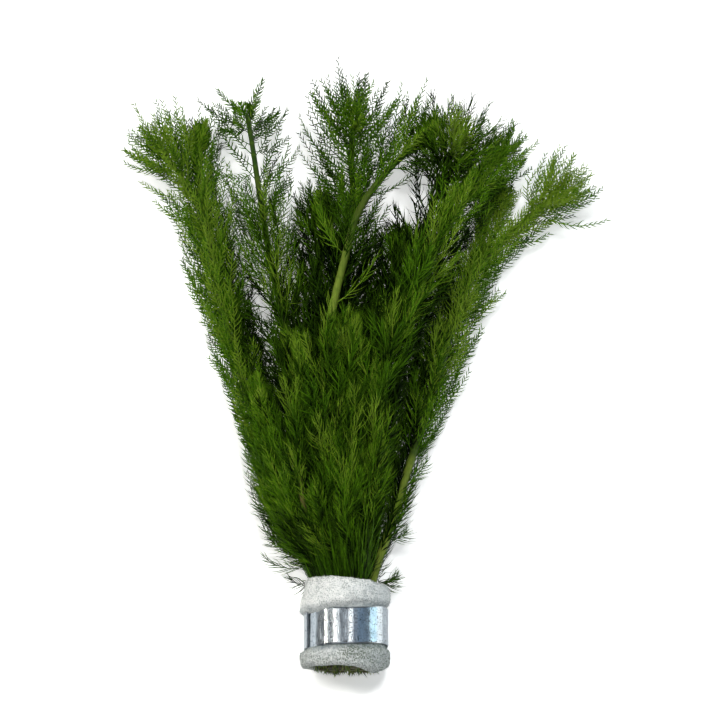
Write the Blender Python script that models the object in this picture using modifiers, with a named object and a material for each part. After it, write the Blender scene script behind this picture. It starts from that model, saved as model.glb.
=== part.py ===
"""A tied bunch of feathery aquarium-plant shoots, lying on a flat surface.

Fourteen cut shoots are held at their lower ends by one turn of foam strip, and a soft metal weight
strip is wound round the foam. Each shoot is one solid: its bare stalk inside the tie, and above it the
plume of leaf whorls, drawn as a foxtail of star-shaped tiers whose points are the leaf tips.

Frame: metres, +Z up. The origin is the middle of the weight band's flat underside, on the surface that
the bunch lies on. +Y runs along the bunch to the shoot tips, and +X across it.
"""

from dataclasses import dataclass

import bmesh
import bpy
import numpy as np

MM = 0.001
GAP = 0.3 * MM  # air between neighbouring pieces

# The tie: an oval of foam strip, flat where it rests, with the metal band round its middle
BAND_HALF_WIDE = 13.8 * MM  # across the bunch, to the band's outer face
BAND_HALF_HIGH = 13.2 * MM
TIE_AXIS_HEIGHT = 12.7 * MM  # under BAND_HALF_HIGH, so that the underside is pressed flat
BAND_WIDTH = 12.7 * MM  # a half-inch strip
BAND_THICK = 0.5 * MM
BAND_SLANT = 0.051  # the band sits askew: its right side is further up the bunch
BAND_BOW = 3.6  # per metre: both its sides are further up by this times the square of their distance
BAND_LAP_DEG = (158.0, 205.0)  # the outer end covers the inner end between these angles
BAND_STEPS = 46
FOAM_THICK = 2.6 * MM
FOAM_BULGE = 1.35 * MM  # how far the foam swells past the band at both lips
FOAM_BULGE_LEAN = 0.75 * MM  # it swells this much more at the left and less at the right
FOAM_BOTTOM = -12.4 * MM
FOAM_END_LEAN = 1.1 * MM  # its upper side ends this much further out than its middle
FOAM_FLAP = 2.2 * MM  # its corner hangs out past the end, high on the right
FOAM_FLAP_DEG = 50.0
FOAM_TOP = 16.6 * MM
FOAM_TOP_SLANT = -0.08  # the foam's upper edge is further up the bunch at the left
FOAM_SEAM_DEG = 228.0  # the strip's ends meet low on the left
FOAM_SEAM_GAP_DEG = 3.0
FOAM_STEPS = 26
CUT_ENDS = -13.6 * MM  # the stalks are cut just past the foam

# The stalks in the tie: four above, six in the middle, four below
STALK_RADIUS = 1.5 * MM
ROWS = {
    "top": (17.0 * MM, 4.0 * MM),  # height, pitch across
    "middle": (12.7 * MM, 3.38 * MM),
    "low": (8.4 * MM, 4.0 * MM),
}

# The plumes
TIER_STEP = 11.0 * MM  # along the stalk, from one drawn tier of leaves to the next
TIER_LEAN = 0.72  # how far up its step a tier's points lie, because the leaves slope forward
LEAVES = 5  # in a whorl
SIDES = 2 * LEAVES  # a ring's points: leaf tips and the notches between them
NOTCH = 0.78  # a notch's share of the leaf tips' radius
TIER_WAIST = 0.7  # a tier's share of that radius where it springs from the one below
SAMPLE = 1.0 * MM  # spacing of the points that a centreline is read at
LEAF_START = 18.4 * MM  # past the foam, where the plumes begin to swell
SWELL_RUN = 9.0 * MM  # how far along they take to reach their own spread
LEAST_RADIUS = 0.9 * MM
CLEARANCE = 0.92  # share of the way to a neighbour's half that a leaf tip may go


@dataclass(frozen=True)
class Shoot:
    """One cut shoot.

    slot is its row and column in the tie. route is where its stalk goes past the tie, as points of
    (across, along, height, spread) in millimetres, spread being how far its leaf tips stand off the
    stalk there. crown is how far the last leaves reach past the stalk's tip, in millimetres.
    """

    name: str
    slot: tuple
    route: tuple
    crown: float


SHOOTS = (
    Shoot(
        "left_outer_shoot",
        ("middle", -2.5),
        (
            (-17.5, 28, 13, 9),
            (-27.5, 55, 13, 7.5),
            (-34, 80, 13, 8.5),
            (-42, 110, 12, 12),
            (-46.5, 132, 12, 13.5),
            (-49.5, 144, 13, 14.5),
            (-56, 156, 16, 16),
            (-63.5, 165, 21, 17),
        ),
        12,
    ),
    Shoot(
        "left_back_shoot",
        ("low", -1.5),
        (
            (-19, 40, 6, 6),
            (-27, 68, 5, 7),
            (-36.5, 99, 5, 7),
            (-45.5, 130, 5, 7),
            (-50.5, 154, 6, 7.5),
            (-52, 167, 8, 8),
            (-51, 172, 9.5, 8),
        ),
        5,
    ),
    Shoot(
        "left_inner_shoot",
        ("middle", -1.5),
        (
            (-7.5, 31, 14, 7),
            (-10, 55, 15, 8.5),
            (-14.5, 79, 15, 10),
            (-22.5, 111, 15, 11),
            (-27.5, 135, 15, 11),
            (-30, 151, 15, 13.5),
            (-32.5, 168, 15, 16.5),
            (-34.5, 180, 16, 16),
        ),
        3,
    ),
    Shoot(
        "left_short_shoot",
        ("top", -1.5),
        (
            (-12.5, 24, 17.5, 5.5),
            (-19.5, 42, 18, 8),
            (-25, 60, 18, 8.5),
            (-29, 78, 16, 8.5),
        ),
        7,
    ),
    Shoot(
        "left_front_shoot",
        ("top", -0.5),
        (
            (-9, 28, 21, 7),
            (-14.5, 41, 22.5, 8),
            (-16.5, 67, 23, 9),
            (-17.5, 92, 22, 10),
        ),
        8,
    ),
    Shoot(
        "centre_left_shoot",
        ("low", -0.5),
        (
            (-6, 33, 6, 7),
            (-9, 61, 5.5, 8),
            (-10, 92, 6, 9.5),
            (-9.5, 116, 7, 10.5),
            (-9, 133, 8, 11.5),
            (-9, 146, 9, 11.5),
        ),
        8,
    ),
    Shoot(
        "centre_fan_shoot",
        ("middle", -0.5),
        (
            (-2.5, 38, 13, 7),
            (-2.5, 66, 13, 9),
            (-1.5, 97, 13, 10),
            (0, 125, 13, 12),
            (1.5, 147, 15, 14.5),
            (1.5, 164, 19, 17.5),
            (2, 175, 27, 21.5),
        ),
        14,
    ),
    Shoot(
        "centre_right_shoot",
        ("top", 0.5),
        (
            (-6, 30, 21, 6),
            (-7, 46, 23, 8),
            (-7.5, 77, 25.5, 9),
            (-6, 103, 26, 10.5),
            (-1.5, 124, 26, 11.5),
            (4, 143, 25.5, 12),
            (13.5, 157, 24, 13.5),
            (25.5, 169, 21, 14.5),
        ),
        11,
    ),
    Shoot(
        "short_front_shoot",
        ("top", 1.5),
        (
            (1, 28, 21.5, 5),
            (0.5, 50, 25, 7.5),
            (1, 74, 26, 8.5),
            (0.5, 96, 26, 9),
        ),
        8,
    ),
    Shoot(
        "middle_shoot",
        ("low", 0.5),
        (
            (0.5, 33, 6, 7),
            (1.5, 57, 5.5, 8),
            (6, 85, 6, 9.5),
            (12, 109, 8, 11),
            (15.5, 124, 8, 11),
            (18, 134, 9, 10.5),
        ),
        7,
    ),
    Shoot(
        "right_crown_shoot",
        ("middle", 0.5),
        (
            (4, 31, 13, 6.5),
            (6, 66, 13, 8),
            (13, 97, 13, 10),
            (20, 120, 13, 11),
            (27, 142, 14, 12),
            (32.5, 156, 18, 15),
            (36.5, 165, 27, 18.5),
        ),
        16,
    ),
    Shoot(
        "right_feather_shoot",
        ("middle", 1.5),
        (
            (6.5, 29, 16, 5.5),
            (9, 60, 24, 8),
            (11, 81, 26, 9.5),
            (17, 100, 27, 10),
            (26, 119, 27, 10.5),
            (34.5, 138, 25, 11.5),
            (44, 152, 22, 13.5),
            (51.5, 162, 19, 13.5),
        ),
        12,
    ),
    Shoot(
        "right_back_shoot",
        ("low", 1.5),
        (
            (7, 29, 6, 5),
            (12.5, 54, 5.5, 6.5),
            (22, 81, 5.5, 8),
            (34, 109, 5.5, 9),
            (44.5, 131, 6, 8),
            (48.5, 144, 7, 8.5),
            (51.5, 153, 9, 8),
        ),
        5,
    ),
    Shoot(
        "right_outer_shoot",
        ("middle", 2.5),
        (
            (13.5, 33, 13, 4.5),
            (20, 54, 13, 6),
            (28, 79, 13, 10),
            (36, 105, 13, 13),
            (44, 125, 13, 11),
            (53, 135.5, 13, 11),
            (62, 143.5, 14, 12),
            (71, 150, 17, 14),
        ),
        15,
    ),
)


def clear_scene():
    """Removes whatever the file held."""
    for old in list(bpy.data.objects):
        bpy.data.objects.remove(old)


def finish(name, colour, roughness, metallic=0.0):
    """A plain Principled material."""
    made = bpy.data.materials.new(name)
    made.use_nodes = True
    shader = made.node_tree.nodes["Principled BSDF"]
    shader.inputs["Base Color"].default_value = (*colour, 1.0)
    shader.inputs["Roughness"].default_value = roughness
    shader.inputs["Metallic"].default_value = metallic
    return made


def smooth_route(points):
    """Points about SAMPLE apart on a smooth curve through the given ones.

    Each span is a cubic that leaves and enters its ends along the slope read from their neighbours.
    """
    points = np.array(points, float)
    gaps = np.linalg.norm(np.diff(points[:, :3], axis=0), axis=1)
    along = np.concatenate([[0.0], np.cumsum(gaps)])
    slope = np.gradient(points, along, axis=0)
    read = np.linspace(0.0, along[-1], int(along[-1] / SAMPLE) + 1)
    span = np.clip(np.searchsorted(along, read, side="right") - 1, 0, len(along) - 2)
    width = gaps[span][:, None]
    x = (read - along[span])[:, None] / width
    return (
        (1 + 2 * x) * (1 - x) ** 2 * points[span]
        + x * (1 - x) ** 2 * width * slope[span]
        + x**2 * (3 - 2 * x) * points[span + 1]
        - x**2 * (1 - x) * width * slope[span + 1]
    )


def centreline(shoot):
    """The shoot's line from its cut end to the reach of its last leaves, with the leaf spread.

    It runs straight through the tie, follows the route, and goes straight on for the crown. Also
    gives how far along it the stalk's own tip is.
    """
    row, column = shoot.slot
    height, pitch = ROWS[row]
    across = column * pitch
    in_tie = [
        (across, along, height, STALK_RADIUS)
        for along in (CUT_ENDS, 0.0, FOAM_TOP)
    ]
    route = [tuple(value * MM for value in point) for point in shoot.route]
    line = smooth_route(in_tie + route)
    stalk_end = len(line) - 1
    heading = line[-1, :3] - line[-4, :3]
    heading /= np.linalg.norm(heading)
    steps = np.arange(SAMPLE, shoot.crown * MM + SAMPLE / 2, SAMPLE)[:, None]
    past = np.hstack([line[-1, :3] + steps * heading, np.full((len(steps), 1), line[-1, 3])])
    return np.vstack([line, past]), stalk_end


def frames(line):
    """Unit vectors at each point of a line: forward, sideways (level) and up."""
    forward = np.gradient(line[:, :3], axis=0)
    forward /= np.linalg.norm(forward, axis=1)[:, None]
    side = np.cross(forward, (0.0, 0.0, 1.0))
    side /= np.linalg.norm(side, axis=1)[:, None]
    return forward, side, np.cross(side, forward)


def clear_reach(start, ray, wanted, others):
    """How far along ray a leaf may go from start: not under the surface, nor nearer another stalk.

    The plane halfway between start and a point of another stalk stops the ray, so neighbouring
    plumes share the space between their stalks.
    """
    reach = wanted
    if ray[2] < -1e-6:
        reach = min(reach, start[2] / -ray[2])
    towards = others - start
    facing = towards @ ray
    ahead = facing > 1e-9
    halfway = (towards[ahead] ** 2).sum(axis=1) / (2 * facing[ahead])
    if len(halfway):
        reach = min(reach, CLEARANCE * halfway.min() - GAP)
    return max(reach, LEAST_RADIUS)


def tiers(line, stalk_end):
    """The rings of one plume, as (index on the line, share of the spread, parity or None).

    Parity says which points of the ring are leaf tips; None is a plain round ring.
    """
    first = int(np.argmax(line[:, 1] > LEAF_START))
    rings = [(0, None, None), (first, None, None)]
    step = TIER_STEP / SAMPLE
    count = max(int((stalk_end - first) / step), 1)
    step = (stalk_end - first) / count
    for tier in range(count):
        base = first + tier * step
        if tier:
            rings.append((int(base), TIER_WAIST, None))
        rings.append((int(base + TIER_LEAN * step), 1.0, tier % 2))
    last = len(line) - 1
    rings.append((stalk_end, TIER_WAIST, None))
    rings.append((int(stalk_end + 0.45 * (last - stalk_end)), 0.95, count % 2))
    rings.append((int(stalk_end + 0.75 * (last - stalk_end)), 0.42, count % 2))
    return rings


def plume_mesh(shoot, line, stalk_end, others):
    """The closed mesh of one shoot: a loft of its rings, with a cut face below and a point above."""
    forward, side, up = frames(line)
    angles = 2 * np.pi * np.arange(SIDES) / SIDES
    mesh = bmesh.new()
    lofted = []
    for index, share, parity in tiers(line, stalk_end):
        middle = line[index, :3]
        swell = np.clip((line[index, 1] - LEAF_START) / SWELL_RUN, 0.25, 1.0)
        ring = []
        for number, angle in enumerate(angles):
            ray = np.cos(angle) * side[index] + np.sin(angle) * up[index]
            if share is None:
                reach = STALK_RADIUS
            else:
                wanted = max(share * swell * line[index, 3], STALK_RADIUS)
                tip = clear_reach(middle, ray, wanted, others)
                between = parity is not None and number % 2 != parity
                reach = tip * (NOTCH if between else 1.0)
            ring.append(mesh.verts.new(middle + reach * ray))
        lofted.append(ring)
    for below, above in zip(lofted, lofted[1:]):
        for number in range(SIDES):
            after = (number + 1) % SIDES
            mesh.faces.new((below[number], below[after], above[after], above[number]))
    mesh.faces.new(lofted[0][::-1])
    tip = mesh.verts.new(line[-1, :3])
    for number in range(SIDES):
        mesh.faces.new((lofted[-1][number], lofted[-1][(number + 1) % SIDES], tip))
    bmesh.ops.recalc_face_normals(mesh, faces=mesh.faces)
    data = bpy.data.meshes.new(shoot.name)
    mesh.to_mesh(data)
    mesh.free()
    return data


def oval(angle, half_wide, half_high):
    """A point of the tie's oval, as (across, height), pressed flat where it meets the surface."""
    height = TIE_AXIS_HEIGHT + half_high * np.sin(angle)
    return half_wide * np.cos(angle), max(height, 0.0)


def wrap_sheet(name, angles, rows, place):
    """An open sheet: place(angle, row) gives each point, with its faces pointing out of the tie."""
    sheet = bmesh.new()
    grid = [[sheet.verts.new(place(angle, row)) for row in rows] for angle in angles]
    for here, following in zip(grid, grid[1:]):
        for low in range(len(rows) - 1):
            corners = (here[low], here[low + 1], following[low + 1], following[low])
            sheet.faces.new(corners)
    data = bpy.data.meshes.new(name)
    sheet.to_mesh(data)
    sheet.free()
    return data


def band_middle(across):
    """Where the band's middle lies along the bunch, at a place across it."""
    return BAND_SLANT * across + BAND_BOW * across**2


def foam_strip():
    """One turn of foam strip: the waist is under the band, and both lips swell past it."""
    inset = BAND_THICK + GAP
    half_band = BAND_WIDTH / 2
    # Along the bunch: a place as a share from one end to the band's edge, and the swelling there
    lower = ((0.0, 0.1), (0.35, 1.0), (1.0, 0.6))
    rows = [("bottom", share, swell) for share, swell in lower]
    rows += [("waist", -1.06, 0.0), ("waist", 1.06, 0.0)]
    rows += [("top", share, swell) for share, swell in reversed(lower)]

    def place(angle, row):
        where, share, swell = row
        bulge = FOAM_BULGE - FOAM_BULGE_LEAN * np.cos(angle)
        out = bulge * swell - inset * (1 - swell)
        across, height = oval(angle, BAND_HALF_WIDE + out, BAND_HALF_HIGH + out)
        height = max(height, inset * (1 - swell))
        middle = band_middle(across)
        edge = half_band + 1.1 * MM
        if where == "waist":
            along = middle + share * half_band
        elif where == "bottom":
            flap = FOAM_FLAP * max(np.cos(angle - np.radians(FOAM_FLAP_DEG)), 0.0) ** 3
            bottom = FOAM_BOTTOM - FOAM_END_LEAN * np.sin(angle) - flap
            along = bottom + share * (middle - edge - bottom)
        else:
            top = FOAM_TOP + FOAM_TOP_SLANT * across
            along = top + share * (middle + edge - top)
        return across, along, height

    half_gap = FOAM_SEAM_GAP_DEG / 2
    turn = np.radians(
        np.linspace(FOAM_SEAM_DEG + half_gap, FOAM_SEAM_DEG + 360 - half_gap, FOAM_STEPS)
    )
    made = bpy.data.objects.new("foam_wrap", wrap_sheet("foam_wrap", turn, rows, place))
    wall = made.modifiers.new("wall", "SOLIDIFY")
    wall.thickness = FOAM_THICK
    wall.offset = -1.0
    return made


def weight_band():
    """The metal strip: one turn and a lap, its outer end lying on its inner end at the left."""
    free_end, hidden_end = BAND_LAP_DEG
    lift = BAND_THICK + GAP
    turn = np.linspace(hidden_end, free_end - 360, BAND_STEPS)[::-1]
    lap_starts = hidden_end - 360
    climb = 40.0  # degrees over which the outer end climbs on to the inner one

    def place(degrees, edge):
        outward = lift * np.clip((lap_starts + climb - degrees) / climb, 0.0, 1.0)
        across, height = oval(
            np.radians(degrees), BAND_HALF_WIDE + outward, BAND_HALF_HIGH + outward
        )
        return across, band_middle(across) + edge, height

    edges = (-BAND_WIDTH / 2, BAND_WIDTH / 2)
    made = bpy.data.objects.new("weight_band", wrap_sheet("weight_band", turn, edges, place))
    metal = made.modifiers.new("metal", "SOLIDIFY")
    metal.thickness = BAND_THICK
    metal.offset = -1.0
    return made


def main():
    clear_scene()
    bunch = bpy.data.collections.new("milfoil_bunch")
    bpy.context.scene.collection.children.link(bunch)
    leaf_green = finish("wet_leaf", (0.045, 0.115, 0.012), 0.5)
    pale_foam = finish("pale_foam", (0.72, 0.74, 0.71), 0.95)
    soft_metal = finish("soft_metal", (0.72, 0.73, 0.75), 0.22, metallic=1.0)

    lines = {shoot.name: centreline(shoot) for shoot in SHOOTS}
    for shoot in SHOOTS:
        line, stalk_end = lines[shoot.name]
        others = np.vstack([lines[name][0][:, :3] for name in lines if name != shoot.name])
        plume = bpy.data.objects.new(shoot.name, plume_mesh(shoot, line, stalk_end, others))
        plume.data.materials.append(leaf_green)
        bunch.objects.link(plume)

    for piece, material in ((foam_strip(), pale_foam), (weight_band(), soft_metal)):
        piece.data.materials.append(material)
        bunch.objects.link(piece)


if __name__ == "__main__":
    main()
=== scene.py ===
"""The looks of a tied bunch of feathery aquarium-plant shoots, lying on a flat surface.

Every shoot gets a jointed stem and whorls of comb-like leaves in place of its plain solid. The foam
strip gets its torn open cells, and the metal weight strip its creases and its lap. Sizes are metres
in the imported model's frame: +Y runs along the bunch to the shoot tips, and +Z is up.
"""

from __future__ import annotations

import logging
import math
from dataclasses import dataclass
from enum import Enum

import bpy
import numpy as np
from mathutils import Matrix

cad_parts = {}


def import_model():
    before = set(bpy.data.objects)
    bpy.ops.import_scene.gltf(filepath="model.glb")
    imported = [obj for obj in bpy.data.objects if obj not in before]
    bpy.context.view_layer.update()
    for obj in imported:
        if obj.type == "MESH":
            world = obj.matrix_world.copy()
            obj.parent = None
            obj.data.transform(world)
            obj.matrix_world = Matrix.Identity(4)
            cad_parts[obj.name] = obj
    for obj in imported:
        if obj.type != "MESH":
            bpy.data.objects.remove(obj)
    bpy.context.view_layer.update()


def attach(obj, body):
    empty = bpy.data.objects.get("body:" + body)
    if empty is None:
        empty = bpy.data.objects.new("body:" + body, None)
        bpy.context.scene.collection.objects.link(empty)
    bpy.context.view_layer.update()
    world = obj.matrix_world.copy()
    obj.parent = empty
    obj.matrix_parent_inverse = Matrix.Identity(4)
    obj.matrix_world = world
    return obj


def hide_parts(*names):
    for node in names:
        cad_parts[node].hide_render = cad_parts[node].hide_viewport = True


LOG = logging.getLogger("milfoil_bunch")
MM = 0.001
BODY = "root"
LEAF_UV = "OFBake"  # u runs along a strand from its base, v is the strand's tone, painted light and shade included
TONES = (0.03, 0.97)  # the darkest and the palest strand
GOLDEN_TURN = math.radians(137.5)


# Numbers and noise


def linear(code: str) -> tuple[float, float, float, float]:
    """Turns a colour from sRGB to linear.

    Args:
        code: the colour as six hex digits after a hash.

    Returns:
        Linear red, green and blue, with an alpha of one.
    """
    channels = (int(code[place : place + 2], 16) / 255 for place in (1, 3, 5))
    red, green, blue = (
        part / 12.92 if part <= 0.04045 else ((part + 0.055) / 1.055) ** 2.4 for part in channels
    )
    return red, green, blue, 1.0


def unit(vectors: np.ndarray) -> np.ndarray:
    """Scales vectors along the last axis to length one.

    Args:
        vectors: an array whose last axis holds x, y and z.

    Returns:
        The same array with unit vectors.
    """
    return vectors / np.maximum(np.linalg.norm(vectors, axis=-1, keepdims=True), 1e-12)


def smoothstep(value: np.ndarray, low: float, high: float) -> np.ndarray:
    """Rises from 0 at low to 1 at high along 3x^2 - 2x^3.

    Args:
        value: where to read it.
        low: the value at which it starts.
        high: the value at which it ends.

    Returns:
        The risen share, from 0 to 1.
    """
    share = np.clip((value - low) / (high - low), 0.0, 1.0)
    return share * share * (3 - 2 * share)


def lattice(cells: np.ndarray) -> np.ndarray:
    """One fixed random number from 0 to 1 for each whole-number cell.

    The formula is the fraction of sin(i a + j b + k c) times a large number.

    Args:
        cells: whole-number cells, with i, j and k on the last axis.

    Returns:
        A number for each cell.
    """
    mixed = np.sin(cells @ np.array([127.1, 311.7, 74.7])) * 43758.5453
    return mixed - np.floor(mixed)


def noise(points: np.ndarray, size: float) -> np.ndarray:
    """Smooth random relief from -1 to 1: the cells' corner numbers blended by 3x^2 - 2x^3.

    Args:
        points: places in metres, with x, y and z on the last axis.
        size: the width of one cell in metres.

    Returns:
        The relief at each point.
    """
    scaled = points / size
    corner = np.floor(scaled)
    share = scaled - corner
    share = share * share * (3 - 2 * share)
    total = np.zeros(points.shape[:-1])
    for step in np.ndindex(2, 2, 2):
        offset = np.array(step, float)
        weight = np.prod(np.where(offset > 0, share, 1 - share), axis=-1)
        total += weight * lattice(corner + offset)
    return total * 2 - 1


def cell_distance(points: np.ndarray, size: float) -> np.ndarray:
    """How far each point is from the nearest of scattered centres, one centre to a cell.

    Args:
        points: places in metres, with x, y and z on the last axis.
        size: the width of one cell in metres.

    Returns:
        The distance as a share of the cell's width.
    """
    scaled = points / size
    corner = np.floor(scaled)
    nearest = np.full(points.shape[:-1], 9.0)
    for step in np.ndindex(3, 3, 3):
        cell = corner + np.array(step, float) - 1
        centre = cell + np.stack([lattice(cell + shift) for shift in (0.3, 7.7, 13.1)], axis=-1)
        nearest = np.minimum(nearest, np.linalg.norm(scaled - centre, axis=-1))
    return nearest


# Meshes


def triangles(quads: np.ndarray) -> np.ndarray:
    """Halves four-cornered faces.

    Args:
        quads: vertex numbers, four to a face.

    Returns:
        Vertex numbers, three to a face.
    """
    return np.concatenate([quads[:, [0, 1, 2]], quads[:, [0, 2, 3]]])


def grid_quads(rows: int, columns: int, wrap: bool) -> np.ndarray:
    """The faces between neighbouring rows of a grid of vertices.

    Args:
        rows: how many rows of vertices there are.
        columns: how many vertices a row has.
        wrap: whether the last column joins the first.

    Returns:
        Vertex numbers, four to a face.
    """
    row, column = np.meshgrid(
        np.arange(rows - 1), np.arange(columns if wrap else columns - 1), indexing="ij"
    )
    after = (column + 1) % columns
    corners = (
        row * columns + column,
        row * columns + after,
        (row + 1) * columns + after,
        (row + 1) * columns + column,
    )
    return np.stack([corner.ravel() for corner in corners], axis=1)


@dataclass
class Shape:
    """Vertices and triangles, with what the material reads at each vertex."""

    points: np.ndarray
    faces: np.ndarray
    uv: np.ndarray | None = None
    marks: dict[str, np.ndarray] | None = None

    @staticmethod
    def joined(shapes: list[Shape]) -> Shape:
        """Puts several shapes in one.

        Args:
            shapes: what to put together. All of them have a uv, or none has.

        Returns:
            One shape with all their faces.
        """
        starts = np.cumsum([0] + [len(shape.points) for shape in shapes[:-1]])
        return Shape(
            np.concatenate([shape.points for shape in shapes]),
            np.concatenate([shape.faces + start for shape, start in zip(shapes, starts)]),
            np.concatenate([shape.uv for shape in shapes]) if shapes[0].uv is not None else None,
            {
                mark: np.concatenate([shape.marks[mark] for shape in shapes])
                for mark in shapes[0].marks or {}
            },
        )

    def piece(self, name: str, finish: bpy.types.Material, slot: str) -> bpy.types.Object:
        """Makes the object, lets it ride on the body and dresses it.

        Args:
            name: the piece's name.
            finish: its material.
            slot: the record's material slot that the finish belongs to; not used.

        Returns:
            The new object.
        """
        mesh = bpy.data.meshes.new(name)
        count = len(self.faces)
        mesh.vertices.add(len(self.points))
        mesh.vertices.foreach_set("co", self.points.astype(np.float32).ravel())
        mesh.loops.add(count * 3)
        mesh.loops.foreach_set("vertex_index", self.faces.astype(np.int32).ravel())
        mesh.polygons.add(count)
        mesh.polygons.foreach_set("loop_start", np.arange(0, count * 3, 3, dtype=np.int32))
        mesh.polygons.foreach_set("use_smooth", np.ones(count, bool))
        if self.uv is not None:
            layer = mesh.uv_layers.new(name=LEAF_UV)
            layer.data.foreach_set("uv", self.uv[self.faces.ravel()].astype(np.float32).ravel())
        for mark, values in (self.marks or {}).items():
            attribute = mesh.attributes.new(mark, "FLOAT", "POINT")
            attribute.data.foreach_set("value", values.astype(np.float32).ravel())
        mesh.update(calc_edges=True)
        mesh.validate()
        made = bpy.data.objects.new(name, mesh)
        bpy.context.scene.collection.objects.link(made)
        made.data.materials.append(finish)
        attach(made, BODY)
        return made


def spikes(
    path: np.ndarray, radius: np.ndarray, facing: np.ndarray, along: np.ndarray, tone: np.ndarray
) -> Shape:
    """Closed three-sided spikes: a triangle carried along each path, shrinking to a point.

    A corner lies at path + radius (cos a, sin a) in the plane across the path, for three angles a.

    Args:
        path: points of each spike's middle, as (spike, point, xyz).
        radius: thickness at every point but the last, as (spike, point).
        facing: for each spike a direction that isn't along it.
        along: the u coordinate at each point, as (spike, point).
        tone: the v coordinate of each spike.

    Returns:
        All the spikes as one shape.
    """
    sides = 3
    spread = 0.012  # width in v, so that no face has an empty place in the UV map
    count, length, _ = path.shape
    rings = length - 1
    forward = unit(np.gradient(path, axis=1))
    across = unit(np.cross(forward, facing[:, None, :]))
    over = np.cross(forward, across)
    angle = 2 * np.pi * np.arange(sides) / sides
    around = (
        np.cos(angle)[:, None] * across[:, :rings, None, :]
        + np.sin(angle)[:, None] * over[:, :rings, None, :]
    )
    ring = path[:, :rings, None, :] + radius[:, :rings, None, None] * around
    points = np.concatenate([ring.reshape(count, rings * sides, 3), path[:, -1:, :]], axis=1)
    offset = (np.arange(sides) - 1.0) * spread
    ring_u = np.repeat(along[:, :rings, None], sides, axis=2)
    ring_v = np.broadcast_to(tone[:, None, None] + offset, (count, rings, sides))
    u = np.concatenate([ring_u.reshape(count, -1), along[:, -1:]], axis=1)
    v = np.concatenate([ring_v.reshape(count, -1), tone[:, None]], axis=1)
    walls = triangles(grid_quads(rings, sides, wrap=True))
    last = (rings - 1) * sides
    point = np.array([[last + n, last + (n + 1) % sides, rings * sides] for n in range(sides)])
    one = np.concatenate([walls, point, [[0, 2, 1]]])
    size = rings * sides + 1
    faces = (one[None] + (np.arange(count) * size)[:, None, None]).reshape(-1, 3)
    uv = np.clip(np.stack([u, v], axis=-1).reshape(-1, 2), 0.002, 0.998)
    return Shape(points.reshape(-1, 3), faces, uv)


def above_surface(points: np.ndarray, least: float) -> np.ndarray:
    """Lays what would pass under the surface on it: z becomes k log(1 + exp(z / k)) above least.

    Args:
        points: places with x, y and z on the last axis.
        least: the lowest height allowed.

    Returns:
        The same places, none lower than least.
    """
    softness = 0.7 * MM  # the k of the formula
    lifted = points.copy()
    share = (points[..., 2] - least) / softness
    bent = np.log1p(np.exp(np.minimum(share, 30)))
    lifted[..., 2] = least + softness * np.where(share > 30, share, bent)
    return lifted


# Finishes


def feed(tree: bpy.types.NodeTree, node: bpy.types.Node, values: dict[str | int, object]) -> None:
    """Gives a node its settings and links.

    Args:
        tree: the material's nodes.
        node: the one to set.
        values: for the node's properties and inputs, each a number, a hex colour or the socket
            that feeds it. stops holds a colour ramp's places with their hex colours, in order.
    """
    for name, value in values.items():
        if isinstance(value, str) and value.startswith("#"):
            value = linear(value)
        if isinstance(value, bpy.types.NodeSocket):
            tree.links.new(value, node.inputs[name])
        elif name == "stops":
            elements = node.color_ramp.elements
            for number, (place, code) in enumerate(value):
                element = elements[number] if number < 2 else elements.new(place)
                element.position, element.color = place, linear(code)
        elif isinstance(name, str) and hasattr(node, name):
            setattr(node, name, value)
        else:
            node.inputs[name].default_value = value


def add(tree: bpy.types.NodeTree, kind: str, values: dict[str | int, object]) -> bpy.types.Node:
    """Adds a node to a material.

    Args:
        tree: the material's nodes.
        kind: the node's type, without the word ShaderNode before it.
        values: its settings and links, as feed takes them.

    Returns:
        The new node.
    """
    node = tree.nodes.new("ShaderNode" + kind)
    feed(tree, node, values)
    return node


def blank(name: str) -> tuple[bpy.types.Material, bpy.types.NodeTree, bpy.types.Node]:
    """A new material.

    Args:
        name: what the real material is.

    Returns:
        The material, its nodes and its Principled shader.
    """
    material = bpy.data.materials.new(name)
    material.use_nodes = True
    return material, material.node_tree, material.node_tree.nodes["Principled BSDF"]


@dataclass(frozen=True)
class WetLeaf:
    """Living leaf, wet from the tank: thin needles, deep green within the bunch in painted shade and
    yellower at their ends.
    """

    tones: tuple[tuple[float, str], ...] = (
        (0.0, "#000702"), (0.2, "#011403"), (0.4, "#052904"),
        (0.6, "#164306"), (0.8, "#41700f"), (1.0, "#93a640"),
    )
    tip: str = "#618718"
    mottling: float = 0.34  # how far noise moves a strand's tone
    paling_and_root_shade: float = 0.26  # how much paler a needle is at its end than at its root: yellower young tissue, and painted shade at the root
    centre: float = 0.33  # what both of them add on average
    roughness: float = 0.4  # a film of water over a waxy skin

    def material(self) -> bpy.types.Material:
        """Builds it: tone from v, which holds painted light and shade, mottled by noise, dark at a
        needle's root in painted shade and pale at its end.
        """
        material, tree, shader = blank("wet_leaf")
        place = add(tree, "UVMap", {"uv_map": LEAF_UV}).outputs["UV"]
        along, tone = add(tree, "SeparateXYZ", {"Vector": place}).outputs[:2]
        mottle = add(tree, "TexNoise", {"Scale": 26.0, "Detail": 3.0, "Vector": place}).outputs["Fac"]
        level = tone
        for factor, size in ((mottle, self.mottling), (along, self.paling_and_root_shade)):
            values = {"operation": "MULTIPLY_ADD", 0: factor, 1: size, 2: level}
            level = add(tree, "Math", values).outputs[0]
        level = add(
            tree, "Math", {"operation": "SUBTRACT", "use_clamp": True, 0: level, 1: self.centre}
        ).outputs[0]
        body = add(tree, "ValToRGB", {"Fac": level, "stops": self.tones}).outputs["Color"]
        paler = add(tree, "Math", {"operation": "MULTIPLY", 0: along, 1: level}).outputs[0]
        mixed = add(tree, "Mix", {"data_type": "RGBA", 0: paler, 6: body, 7: self.tip}).outputs[2]
        feed(
            tree,
            shader,
            {
                "Base Color": mixed, "Roughness": self.roughness, "IOR": 1.36,
                "Specular IOR Level": 0.08,
            },
        )
        return material


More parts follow.
